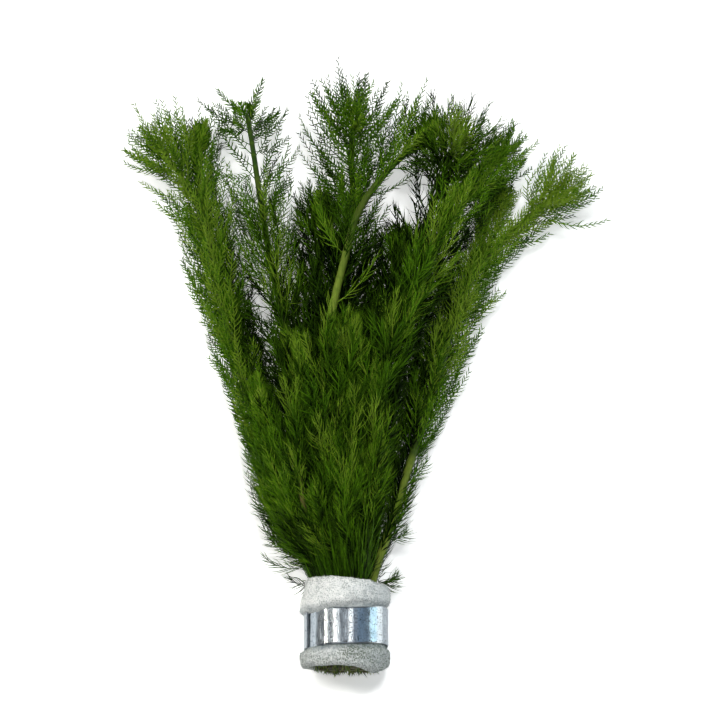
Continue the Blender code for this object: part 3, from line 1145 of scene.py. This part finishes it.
@dataclass(frozen=True)
class Plume:
    """Builds the stem and the leaves of one shoot."""

    shoot: Shoot
    seed: int
    cut_ends: float = -13.2 * MM
    foam_top: float = 16.6 * MM
    stalk_spread: float = 1.5 * MM
    first_whorl: float = 12.5 * MM
    leaves_in_whorl: int = 6
    pinna_pairs: int = 12
    clung_pairs: int = 9
    rachis_radius: float = 0.18 * MM
    pinna_radius: float = 0.18 * MM
    least_height: float = 0.3 * MM
    sides: int = 10  # of the stem
    midrib_points: int = 7
    narrow: float = 48 * MM  # the bunch is narrow up to here
    opens: tuple[float, float] = (35 * MM, 65 * MM)  # its edges spread over this stretch
    leaf_lengths: tuple[float, float] = (15 * MM, 27 * MM)
    fresh_end: float = 6 * MM
    clung_share: float = 0.68

    def line(self) -> tuple[np.ndarray, np.ndarray, np.ndarray]:
        """The stem's middle.

        Returns:
            Its points as rows of x, y, z and spread, how far along it each is, and its heading.
        """
        across, height = self.shoot.stalk
        in_tie = [
            (across * MM, y, height * MM, self.stalk_spread)
            for y in (self.cut_ends, 0.0, self.foam_top)
        ]
        route = [tuple(value * MM for value in point) for point in self.shoot.route]
        points = sampled(np.array(in_tie + route), 0.7 * MM)
        gaps = np.linalg.norm(np.diff(points[:, :3], axis=0), axis=1)
        forward = unit(np.gradient(points[:, :3], axis=0))
        return points, np.concatenate([[0.0], np.cumsum(gaps)]), forward

    def whorls(self, points: np.ndarray, along: np.ndarray) -> np.ndarray:
        """Spaces the whorls along the stem, closer together towards the young tip.

        Args:
            points: the stem's middle, as rows of x, y, z and spread.
            along: how far along it each point is.

        Returns:
            How far along the stem each whorl is.
        """
        place = float(along[np.argmax(points[:, 1] > self.first_whorl)])
        found = []
        while place < along[-1] - 0.5 * MM:
            found.append(place)
            young = 0.8 + 0.2 * min((along[-1] - place) / (20 * MM), 1.0)
            place += self.shoot.step * MM * young
        return np.array(found)

    def bareness(self, y: np.ndarray) -> np.ndarray:
        """1 where the stem shows between its leaves, fading to 0 over 4 mm."""
        low, high = (value * MM for value in self.shoot.bare)
        return smoothstep(y, low, low + 4 * MM) * (1 - smoothstep(y, high - 4 * MM, high))

    def stem(self, finish: bpy.types.Material) -> bpy.types.Object:
        """Makes the stem: a circle carried along its line, swollen at each whorl's joint.

        The radius is r0 (1 - 0.4 s^2) plus a low bell 0.9 mm wide at every joint, with s from 0
        at the cut to 1 at the tip. The cut face is hollowed a little, as the pith dries back.

        Args:
            finish: its material.

        Returns:
            The piece.
        """
        points, along, forward = self.line()
        joints = self.whorls(points, along)
        bell = np.exp(-(((along[:, None] - joints) / (0.55 * MM)) ** 2)).sum(axis=1)
        share = along / along[-1]
        radius = self.shoot.stem * MM * (1 - 0.4 * share**2) + 0.07 * MM * bell
        radius *= 1 - 0.85 * smoothstep(share, 0.985, 1.0)
        side = unit(np.cross(forward, (0.0, 0.0, 1.0)))
        up = np.cross(side, forward)
        sides = self.sides
        angle = 2 * np.pi * np.arange(sides) / sides
        ribs = 1 + 0.05 * np.cos(5 * angle)
        ring = (
            points[:, None, :3]
            + (radius[:, None] * ribs)[..., None]
            * (np.cos(angle)[:, None] * side[:, None] + np.sin(angle)[:, None] * up[:, None])
        )
        count = len(points)
        hollow = points[0, :3] + 0.35 * MM * forward[0]
        tip = points[-1, :3] + 0.3 * MM * forward[-1]
        solid = np.concatenate([ring.reshape(-1, 3), hollow[None], tip[None]])
        number = np.arange(sides)
        after = (number + 1) % sides
        start = np.stack([after, number, np.full(sides, count * sides)], axis=1)
        last = (count - 1) * sides
        end = np.stack([last + number, last + after, np.full(sides, count * sides + 1)], axis=1)
        walls = triangles(grid_quads(count, sides, wrap=True))
        marks = self.stem_marks(points, along, bell, solid)
        shape = Shape(solid, np.concatenate([walls, start, end]), marks=marks)
        piece = shape.piece(self.shoot.name.replace("shoot", "stem"), finish, "leaf")
        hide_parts(self.shoot.name)
        return piece

    def stem_marks(
        self, points: np.ndarray, along: np.ndarray, bell: np.ndarray, solid: np.ndarray
    ) -> dict[str, np.ndarray]:
        """What the stem's material reads: joints, age, the cut end and shade, which paints the shade
        of the leaves over it.

        Args:
            points: the stem's middle, as rows of x, y, z and spread.
            along: how far along it each point is.
            bell: how near a joint each point is, from 0 to 1.
            solid: the stem's vertices, with the middles of its two ends last.

        Returns:
            The marks, with a number for each vertex.
        """
        sides = self.sides
        cut = np.repeat(1 - smoothstep(along, 0.5 * MM, 3.0 * MM), sides)
        patchy = smoothstep(noise(solid[:-2], 9 * MM), -0.2, 0.6)
        lower = np.repeat(1 - smoothstep(points[:, 1], 30 * MM, 90 * MM), sides)
        age = np.clip(self.shoot.age * (0.4 + patchy + lower), 0, 1)
        ringed = np.repeat(np.clip(bell, 0, 1) ** 2 * 0.55, sides)
        shown = np.repeat(self.bareness(points[:, 1]), sides)
        young = np.repeat(smoothstep(points[:, 1], 128 * MM, 138 * MM), sides)
        # Painted shade: deep green where leaves cover the stem and from 128 to 138 mm along the bunch
        # on, its own colour where it is bare
        shade = 0.92 + (self.shoot.shade - 0.92) * shown * (1 - young)
        shade += 0.2 * noise(solid[:-2], 14 * MM)
        marks = {"joint": ringed, "age": age, "cut": cut, "shade": np.clip(shade, 0, 1)}
        return {
            name: np.concatenate([values, [values[0], values[-1]]])
            for name, values in marks.items()
        }

    def whorled(self, rng: np.random.Generator) -> tuple[np.ndarray, ...]:
        """Places the leaves of the whorls, and the ones that lie along the stem's upper side.

        A leaf of length L leans by the angle whose sine is spread / L, so that its tip stands off
        the stem by the route's spread. Its length ends within the crown's dome.

        Args:
            rng: the shoot's random numbers.

        Returns:
            Turn round the stem, place with spread, the stem's heading, length and lean of each.
        """
        points, along, forward = self.line()
        whorls = self.whorls(points, along)
        per = self.leaves_in_whorl
        number = np.arange(len(whorls))[:, None]
        turn = number * GOLDEN_TURN / 2 + 2 * np.pi * np.arange(per) / per
        turn = (turn + rng.normal(0, 0.2, turn.shape)).ravel()
        place = np.repeat(whorls, per) + rng.normal(0, 0.4 * MM, turn.size)
        # Leaves along the stem's upper side, more of them near the tie
        over = 1 if self.shoot.habit is Habit.FRESH else 2
        near_tie = whorls[read_rows(whorls, along, points)[:, 1] < self.narrow]
        over_place = np.concatenate([np.repeat(whorls, over), np.repeat(near_tie, 4)])
        over_place += rng.uniform(0, 2.5 * MM, over_place.size)
        over_turn = np.pi / 2 + rng.normal(0, 0.55, over_place.size)
        flat = np.concatenate([np.zeros(turn.size, bool), np.ones(over_turn.size, bool)])
        turn = np.concatenate([turn, over_turn])
        place = np.minimum(np.concatenate([place, over_place]), along[-1])
        here = read_rows(place, along, points)
        spread = here[:, 3]
        young = smoothstep(along[-1] - place, -1 * MM, 14 * MM)
        length = np.clip(0.55 * spread + 15.5 * MM, *self.leaf_lengths) * (0.84 + 0.16 * young)
        length *= rng.uniform(0.72, 1.1, turn.size)
        lean = np.arcsin(np.clip(spread / length, 0.12, 0.9)) * (0.72 + 0.28 * young)
        lean *= np.where(flat, 0.35, rng.uniform(0.7, 1.15, turn.size))
        lean *= 0.7 + 0.3 * smoothstep(here[:, 1], *self.opens)
        domed = 1.3 - 0.8 * np.clip(length * np.sin(lean) / spread, 0, 1.2) ** 2
        room = along[-1] - place + self.shoot.crown * MM * domed
        length = np.minimum(length, room / np.cos(lean) * rng.uniform(0.65, 1.35, turn.size))
        # Lost leaves: a few anywhere, more past sparse, most in the gap and over the bare stem
        shows = self.bareness(here[:, 1]) * (np.sin(turn) > 0.1)
        lost = np.where(here[:, 1] > self.shoot.sparse * MM, 0.3, 0.04)
        low, high, hand = self.shoot.gap
        within = (here[:, 1] > low * MM) & (here[:, 1] < high * MM)
        lost = np.maximum(lost, 0.85 * (within & (np.cos(turn) * hand > 0.1)))
        kept = rng.uniform(0, 1, turn.size) > np.maximum(lost, 0.94 * shows)
        heading = read_rows(place, along, forward)
        return tuple(values[kept] for values in (turn, here, heading, length, lean))

    def crowned(self, rng: np.random.Generator) -> tuple[np.ndarray, ...]:
        """Places the crown's leaves, from the stem's last 9 mm: the first point on, the last out.

        Args:
            rng: the shoot's random numbers.

        Returns:
            What whorled returns.
        """
        points, along, forward = self.line()
        tuft = 6 if self.shoot.sparse < 200 else int(6 + 0.7 * points[-1, 3] / MM)
        opened = np.linspace(0.08, 1.0, tuft)
        reach = np.hypot(self.shoot.crown * MM + opened * 7 * MM, points[-1, 3] * opened)
        return (
            np.arange(tuft) * GOLDEN_TURN,
            read_rows(along[-1] - opened * 9 * MM, along, points),
            np.repeat(forward[-1:], tuft, axis=0),
            reach * rng.uniform(0.8, 1.05, tuft),
            0.08 + 0.82 * opened * rng.uniform(0.75, 1.15, tuft),
        )

    def strays(self) -> tuple[np.ndarray, ...]:
        """Places the single leaves that stick out.

        Returns:
            What whorled returns.
        """
        points, along, forward = self.line()
        y, turned, length, lean = np.array(self.shoot.strays).reshape(-1, 4).T
        spot = np.interp(y * MM, points[:, 1], along)
        here, heading = read_rows(spot, along, points), read_rows(spot, along, forward)
        return np.radians(turned), here, heading, length * MM, np.radians(lean)

    def sprung(self, rng: np.random.Generator) -> Leaves:
        """Works out how each leaf of the shoot is held, how thick its needles are, and its tone,
        painted light and shade included.

        Args:
            rng: the shoot's random numbers.

        Returns:
            The leaves.
        """
        sets = (self.whorled(rng), self.crowned(rng), self.strays())
        turn, here, heading, length, lean = (np.concatenate(parts) for parts in zip(*sets))
        y, end = here[:, 1], self.line()[0][-1, 1]
        heading = unit(heading)
        side = unit(np.cross(heading, (0.0, 0.0, 1.0)))
        up = np.cross(side, heading)
        radial = np.cos(turn)[:, None] * side + np.sin(turn)[:, None] * up
        low, high = self.shoot.habit.value
        opening = rng.uniform(low, high, len(turn))
        # Combed close along the stem low in the bunch, where the leaves are pressed together
        curl = np.interp(y, np.array([0, 90, 140, 165]) * MM, (1.5, 1.4, 1.0, 0.6))
        # Paler towards the young end; darker low in the bunch, painted shade where little light comes
        lighter = np.interp(y, (0.0, 60 * MM, 160 * MM), (-0.08, -0.03, 0.10))
        lighter += self.shoot.fresh * (1 - smoothstep(end - y, 0 * MM, self.fresh_end))
        # Painted light and shade: leaves on the stem's upper side paler, those under it darker
        painted_top_light = 0.24 * np.sin(turn)
        height = here[:, 2] + 0.6 * np.sin(turn) * here[:, 3]
        # Painted shade where other leaves lie over it, which is inside the bunch but not at its
        # edges: the lower a leaf, the darker. Painted light on the edge leaves.
        edge = np.abs(here[:, 0] + 6 * MM * np.cos(turn)) / (10 * MM + 0.33 * y)
        rim = smoothstep(edge, 0.65, 1.0)
        outer = rim * (0.2 + 0.8 * smoothstep(y, *self.opens))
        top = self.shoot.shaded * MM
        sunk = (1 - smoothstep(y, top, top + 30 * MM)) * (1 - outer)
        deep = 0.42 * np.clip((height - 22 * MM) / (16 * MM), -1, 0.4) * sunk + 0.16 * outer
        # Fresh, pale leaves painted as in light among dark, clung ones painted in shade, which lie
        # inside the bunch, most under the stem, and are never at an edge, end or stray
        chance = sunk * np.where(np.sin(turn) < -0.3, 1.0, self.clung_share)
        lit = rng.uniform(0, 1, len(turn)) > chance
        lit |= (y < 55 * MM) & (np.sin(turn) < 0.2)
        lit |= (rim > 0.5) | (end - y < self.fresh_end)
        lit[len(lit) - len(self.shoot.strays) :] = True
        tone = self.shoot.tone + lighter + painted_top_light + deep
        # Lit leaves painted paler and the rest darker: painted light and shade
        tone += np.where(lit, 0.08 + 0.10 * sunk, -0.28 - 0.12 * sunk)
        # Edge leaves in the light are painted no darker than 0.34
        tone = np.where(lit & (rim > 0.4), np.maximum(tone, 0.34), tone)
        tone = np.clip(tone + rng.normal(0, 0.1, len(turn)), *TONES)
        root = here[:, :3] + 0.5 * self.shoot.stem * MM * radial
        curl = curl + rng.normal(0, 0.2, len(turn))
        # Wet needles cling together, so they look thicker
        girth = np.where(lit, 1.22 - 0.52 * sunk, 1.0 + 0.6 * self.shoot.girth * sunk)
        return Leaves(root, heading, radial, length, lean, curl, opening, sunk, girth, lit, tone)

    def rachis(self, leaves: Leaves, rng: np.random.Generator) -> np.ndarray:
        """The midrib of every leaf, as (leaf, point, xyz).

        Its heading starts past the leaf's lean by half its curl and ends short of it by as much,
        with a sideways swing and a turn up the bunch, towards the light. The points are the running
        sum of the heading.

        Args:
            leaves: the leaves.
            rng: random numbers.

        Returns:
            The points.
        """
        q = np.linspace(0, 1, self.midrib_points)
        angle = leaves.lean[:, None] * (1 + leaves.curl[:, None] * (0.5 - q))
        sideways = np.cross(leaves.forward, leaves.radial)
        swing = rng.normal(0, 0.34, (len(leaves.lean), 1)) * q
        heading = (
            np.cos(angle)[..., None] * leaves.forward[:, None]
            + np.sin(angle)[..., None] * leaves.radial[:, None]
            + swing[..., None] * sideways[:, None]
        )
        heading[..., 1] += 0.3 * q
        heading[..., 2] -= 0.14 * q**1.5
        heading = unit(heading)
        step = leaves.length[:, None, None] / (self.midrib_points - 1)
        moved = (heading[:, :-1] + heading[:, 1:]) / 2 * step
        path = np.concatenate(
            [leaves.root[:, None], leaves.root[:, None] + np.cumsum(moved, axis=1)], axis=1
        )
        return above_surface(path, self.least_height)

    def combs(self, leaves: Leaves, rng: np.random.Generator, lit: bool) -> Shape:
        """A midrib for each leaf, with thin needles in pairs like a comb's teeth.

        Args:
            leaves: the leaves.
            rng: random numbers.
            lit: whether the needles are many and bent, or few and straight.

        Returns:
            The leaves as one shape.
        """
        path = self.rachis(leaves, rng)
        q = np.linspace(0, 1, self.midrib_points)
        thick = self.rachis_radius * np.sqrt(leaves.length / (16 * MM))
        ribs = spikes(
            path,
            thick[:, None] * (1 - 0.55 * q[:-1]),
            leaves.radial + 0.01,
            np.broadcast_to(0.5 + 0.3 * q, path.shape[:2]),
            np.clip(leaves.tone + 0.10, *TONES),
        )
        return Shape.joined([ribs, self.needles(leaves, path, rng, lit)])

    def needles(
        self, leaves: Leaves, path: np.ndarray, rng: np.random.Generator, lit: bool
    ) -> Shape:
        """The needles of every leaf.

        A needle springs from the midrib at 50 degrees near the root and 36 near the tip, times the
        leaf's opening. Its length is greatest a third of the way along. Inside the bunch the
        needles lie closer to the midrib and are longer.

        Args:
            leaves: the leaves.
            path: their midribs, as (leaf, point, xyz).
            rng: random numbers.
            lit: whether the needles are many and bent, or few and straight.

        Returns:
            The needles as one shape.
        """
        count, segments = len(path), path.shape[1] - 1
        # A wet leaf's blade falls flat on what it lies on; a free one lies across the stem
        trend = unit(path[:, -1] - path[:, 0])
        upright = unit(np.cross(trend, leaves.radial))
        level = unit(np.cross(trend, (0.0, 0.0, 1.0)))
        level *= np.where((level * upright).sum(axis=1, keepdims=True) < 0, -1, 1)
        fallen = rng.uniform(0.7, 1.0, (count, 1))
        width = unit(upright * (1 - fallen) + level * fallen + rng.normal(0, 0.14, (count, 3)))
        pairs = self.pinna_pairs if lit else self.clung_pairs
        left = np.linspace(0.12, 0.95, pairs)
        spot = np.concatenate([left, left + 0.4 / pairs])
        hand = np.concatenate([np.ones(pairs), -np.ones(pairs)])
        scaled = spot * segments
        below = np.clip(scaled.astype(int), 0, segments - 1)
        share = (scaled - below)[:, None]
        root = path[:, below] * (1 - share) + path[:, below + 1] * share
        along_rib = unit(path[:, below + 1] - path[:, below])
        bow = np.sin(np.pi * np.clip(0.15 + 0.95 * spot, 0, 1))
        longest = 3.7 * MM + 4.8 * MM * leaves.sunk + 0.8 * MM * ~leaves.lit
        size = longest[:, None] * (0.5 + 0.5 * bow) * rng.uniform(0.75, 1.15, (count, 2 * pairs))
        splay = np.radians(50 - 14 * spot) * (leaves.opening * (1 - 0.45 * leaves.sunk))[:, None]
        splay = splay + rng.normal(0, 0.12, splay.shape) * (1 + leaves.sunk)[:, None]
        wide = width[:, None] * hand[:, None]
        out = np.cos(splay)[..., None] * along_rib + np.sin(splay)[..., None] * wide
        out = unit(out + rng.normal(0, 0.10, out.shape))
        if lit:
            bent = unit(out + 0.9 * along_rib)
            middle = root + 0.52 * size[..., None] * out
            needles = np.stack([root, middle, middle + 0.48 * size[..., None] * bent], axis=2)
            radius, u = np.array([1.0, 0.85]), np.array([0.3, 0.65, 1.0])
        else:
            out = unit(out + 0.15 * along_rib)
            needles = np.stack([root, root + size[..., None] * out], axis=2)
            radius, u = np.array([1.0]), np.array([0.3, 1.0])
        needles = needles.reshape(-1, len(u), 3)
        total = len(needles)
        thick = np.repeat(self.pinna_radius * leaves.girth, 2 * pairs)
        # Painted light and shade: inside the bunch a needle above its leaf's root is paler, one below
        # it darker
        rise = np.clip((root[..., 2] - leaves.root[:, 2:3]) / (7 * MM), -1, 1)
        tone = leaves.tone[:, None] + 0.22 * rise * leaves.sunk[:, None]
        tone = tone + rng.normal(0, 0.08, (count, 2 * pairs))
        return spikes(
            above_surface(needles, 0.6 * self.least_height),
            thick[:, None] * radius,
            np.repeat(leaves.forward + 0.3 * leaves.radial, 2 * pairs, axis=0),
            np.broadcast_to(u, (total, len(u))),
            np.clip(tone.ravel(), *TONES),
        )

    def leaves(self, finish: bpy.types.Material) -> bpy.types.Object:
        """Makes the leaves: bent needles on the pale ones, straight ones on the dark ones.

        Args:
            finish: their material.

        Returns:
            The piece.
        """
        rng = np.random.default_rng(self.seed)
        leaves = self.sprung(rng)
        shapes = [
            self.combs(leaves.those(chosen), rng, lit)
            for chosen, lit in ((leaves.lit, True), (~leaves.lit, False))
            if chosen.any()
        ]
        shape = Shape.joined(shapes)
        piece = shape.piece(self.shoot.name.replace("shoot", "leaves"), finish, "leaf")
        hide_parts(self.shoot.name)
        return piece


@dataclass(frozen=True)
class CutTuft:
    """Stripped leaf stubs and fibres packed between the stalks, seen at both ends of the foam."""

    tie: Tie
    stubs: int = 1100
    threads: int = 430
    low_end: float = -13.7 * MM
    high_end: float = 16.0 * MM
    half_wide: float = 10.8 * MM
    half_high: float = 9.6 * MM
    thread_reach: tuple[float, float] = (10.0, 30.0)  # mm up the bunch

    def build(self, finish: bpy.types.Material) -> bpy.types.Object:
        """Makes the stubs: wavy spikes from the middle of the tie out past each end.

        Args:
            finish: their material.

        Returns:
            The piece.
        """
        rng = np.random.default_rng(41)
        turn = rng.uniform(0, 2 * np.pi, self.stubs)
        apart = np.sqrt(rng.uniform(0, 1, self.stubs))
        x = self.half_wide * apart * np.cos(turn)
        z = self.tie.axis_height - 0.6 * MM + self.half_high * apart * np.sin(turn)
        down = rng.uniform(0, 1, self.stubs) < 0.8
        end = np.where(down, self.low_end, self.high_end) * rng.uniform(0.86, 1.05, self.stubs)
        q = np.linspace(0, 1, 5)
        y = 0.5 * end[:, None] * (1 - q) + end[:, None] * q
        sway = rng.normal(0, 1.3 * MM, (self.stubs, 2, 1)) * q**3
        path = np.stack([x[:, None] + sway[:, 0], y, z[:, None] + sway[:, 1]], axis=-1)
        shape = spikes(
            path,
            rng.uniform(0.16, 0.42, (self.stubs, 1)) * MM * (1 - 0.4 * q[:-1]),
            np.tile([0.3, 0.1, 1.0], (self.stubs, 1)),
            np.broadcast_to(q, (self.stubs, 5)),
            np.clip(rng.normal(0.55, 0.24, self.stubs), *TONES),
        )
        return shape.piece("stripped_stubs", finish, "leaf")

    def collar(self, finish: bpy.types.Material) -> bpy.types.Object:
        """Makes the threads: wet midribs that lie over the stalks where they leave the foam.

        A thread starts in the foam and goes up the bunch 10 to 30 mm, and its place across grows
        in proportion to how far it has gone, as the bunch does.

        Args:
            finish: its material.

        Returns:
            The piece.
        """
        rng = np.random.default_rng(43)
        turn = rng.uniform(0.3, 0.99, self.threads) * np.pi
        apart = rng.uniform(0.55, 1.0, self.threads)
        reach = rng.uniform(*self.thread_reach, self.threads) * MM
        q = np.linspace(0, 1, 7)
        gone = reach[:, None] * q
        wider = 1 + gone * rng.uniform(24, 40, (self.threads, 1))
        sway = rng.normal(0, 2.4 * MM, (self.threads, 2, 1)) * q**2
        sway = sway + rng.normal(0, 0.9 * MM, (self.threads, 2, 1)) * np.sin(np.pi * q)
        x = (11.6 * MM * apart * np.cos(turn))[:, None] * wider - 0.09 * gone + sway[:, 0]
        rise = 10.6 * MM * apart * np.sin(turn)
        z = self.tie.axis_height + rise[:, None] * (1 + 18 * gone) + 0.4 * sway[:, 1]
        y = self.high_end - 2.5 * MM + gone - 0.08 * x
        radius = rng.uniform(0.10, 0.21, (self.threads, 1)) * MM
        tone = rng.choice([0.18, 0.34, 0.62], self.threads) + rng.normal(0, 0.08, self.threads)
        shape = spikes(
            np.stack([x, y, z], axis=-1),
            radius * (1 - 0.4 * q[:-1]),
            np.tile([0.3, 0.1, 1.0], (self.threads, 1)),
            np.broadcast_to(0.4 + 0.4 * q, (self.threads, 7)),
            np.clip(tone, *TONES),
        )
        return shape.piece("collar_threads", finish, "leaf")


# The studio


@dataclass(frozen=True)
class Studio:
    """White card, soft light from above and the camera over the tie's end."""

    target: tuple[float, float, float] = (4.3 * MM, 93.8 * MM, 12.7 * MM)
    elevation_deg: float = 78.0
    lens: float = 400.0
    sensor: float = 36.0
    field: float = 244.8 * MM
    card_half: float = 3.0
    surround: float = 0.16

    def floor(self, finish: bpy.types.Material) -> None:
        """Lays the card just under the object.

        Args:
            finish: its material.
        """
        half = self.card_half
        mesh = bpy.data.meshes.new("card")
        corners = [(-half, -half, 0), (half, -half, 0), (half, half, 0), (-half, half, 0)]
        mesh.from_pydata(corners, [], [(0, 1, 2, 3)])
        card = bpy.data.objects.new("card", mesh)
        card.location.z = -0.05 * MM
        bpy.context.scene.collection.objects.link(card)
        card.data.materials.append(finish)

    def lights(self) -> None:
        """Two soft lights on all that is matt, dimmer ones that the band mirrors, a pale surround."""
        tie = (0.0, 0.0, 12.7 * MM)
        high, over, both = (-0.709, 0.302, 1.241), (0.19, 0.29, 1.36), (True, True)
        for name, place, aim, size, spread, watts, tint, (matt, mirrored) in (
            ("key", high, self.target, 0.34, 180, 11.0, "#fffefa", (True, False)),
            ("overhead", over, self.target, 0.24, 180, 11.0, "#fdfeff", (True, False)),
            ("key_sheen", high, tie, 0.34, 180, 1.5, "#fffefa", (False, True)),
            ("overhead_sheen", over, tie, 0.24, 180, 0.62, "#fdfeff", (False, True)),
            ("room_sheen", (0.0, 0.30, 2.6), tie, 2.8, 180, 6.5, "#f6f8ff", (False, True)),
            ("left_low", (-1.03, 0.345, 0.56), tie, 0.24, 16, 0.03, "#fffaf0", both),
            ("window", (1.18, 0.27, 0.25), tie, 0.8, 180, 2.7, "#bfe4f6", both),
            ("sky", (0.80, 0.29, 1.06), tie, 0.6, 180, 0.5, "#8fb8dc", both),
        ):
            lamp = bpy.data.lights.new(name, "AREA")
            lamp.size = size
            lamp.spread = math.radians(spread)
            lamp.energy = watts
            lamp.color = linear(tint)[:3]
            holder = bpy.data.objects.new(name, lamp)
            holder.location = place
            holder.rotation_euler = direction_euler(np.array(aim) - np.array(place))
            holder.visible_diffuse, holder.visible_glossy = matt, mirrored
            bpy.context.scene.collection.objects.link(holder)
        world = bpy.data.worlds.new("surround")
        world.use_nodes = True
        background = world.node_tree.nodes["Background"]
        background.inputs["Color"].default_value = linear("#f4f6f8")
        background.inputs["Strength"].default_value = self.surround
        bpy.context.scene.world = world

    def camera(self) -> None:
        """Places the camera: straight over the bunch, tipped back towards the tie."""
        data = bpy.data.cameras.new("camera")
        data.lens = self.lens
        data.sensor_width = self.sensor
        data.clip_start = 0.01
        holder = bpy.data.objects.new("camera", data)
        distance = self.field * self.lens / self.sensor
        tilt = math.radians(self.elevation_deg)
        away = np.array([0.0, -math.cos(tilt), math.sin(tilt)]) * distance
        holder.location = np.array(self.target) + away
        holder.rotation_euler = direction_euler(-away)
        bpy.context.scene.collection.objects.link(holder)
        bpy.context.scene.camera = holder


def direction_euler(aim: np.ndarray) -> tuple[float, float, float]:
    """Turns a thing that looks along -Z, such as a camera, to look along a direction.

    Args:
        aim: the direction.

    Returns:
        The rotation as Euler angles.
    """
    x, y, z = unit(np.asarray(aim, float))
    return math.acos(-z), 0.0, math.atan2(y, x) - math.pi / 2


def report(piece: bpy.types.Object) -> None:
    """Logs a finished piece and its number of triangles."""
    LOG.info("%s: %d triangles", piece.name, len(piece.data.polygons))


def main() -> None:
    """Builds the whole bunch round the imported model."""
    logging.basicConfig(level=logging.INFO, format="%(message)s")
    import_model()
    bpy.context.scene.view_settings.view_transform = "Standard"
    studio = Studio()
    studio.floor(StudioFloor().material())
    studio.lights()
    studio.camera()
    tie = Tie()
    report(FoamWrap(tie).build(OpenCellFoam().material()))
    report(WeightBand(tie).build(SoftMetalStrip().material()))
    stem_finish = WaterStem().material()
    leaf_finish = WetLeaf().material()
    tuft = CutTuft(tie)
    report(tuft.build(DeadStub().material()))
    report(tuft.collar(leaf_finish))
    for number, shoot in enumerate(SHOOTS):
        plume = Plume(shoot, seed=100 + number)
        report(plume.stem(stem_finish))
        report(plume.leaves(leaf_finish))


if __name__ == "__main__":
    main()
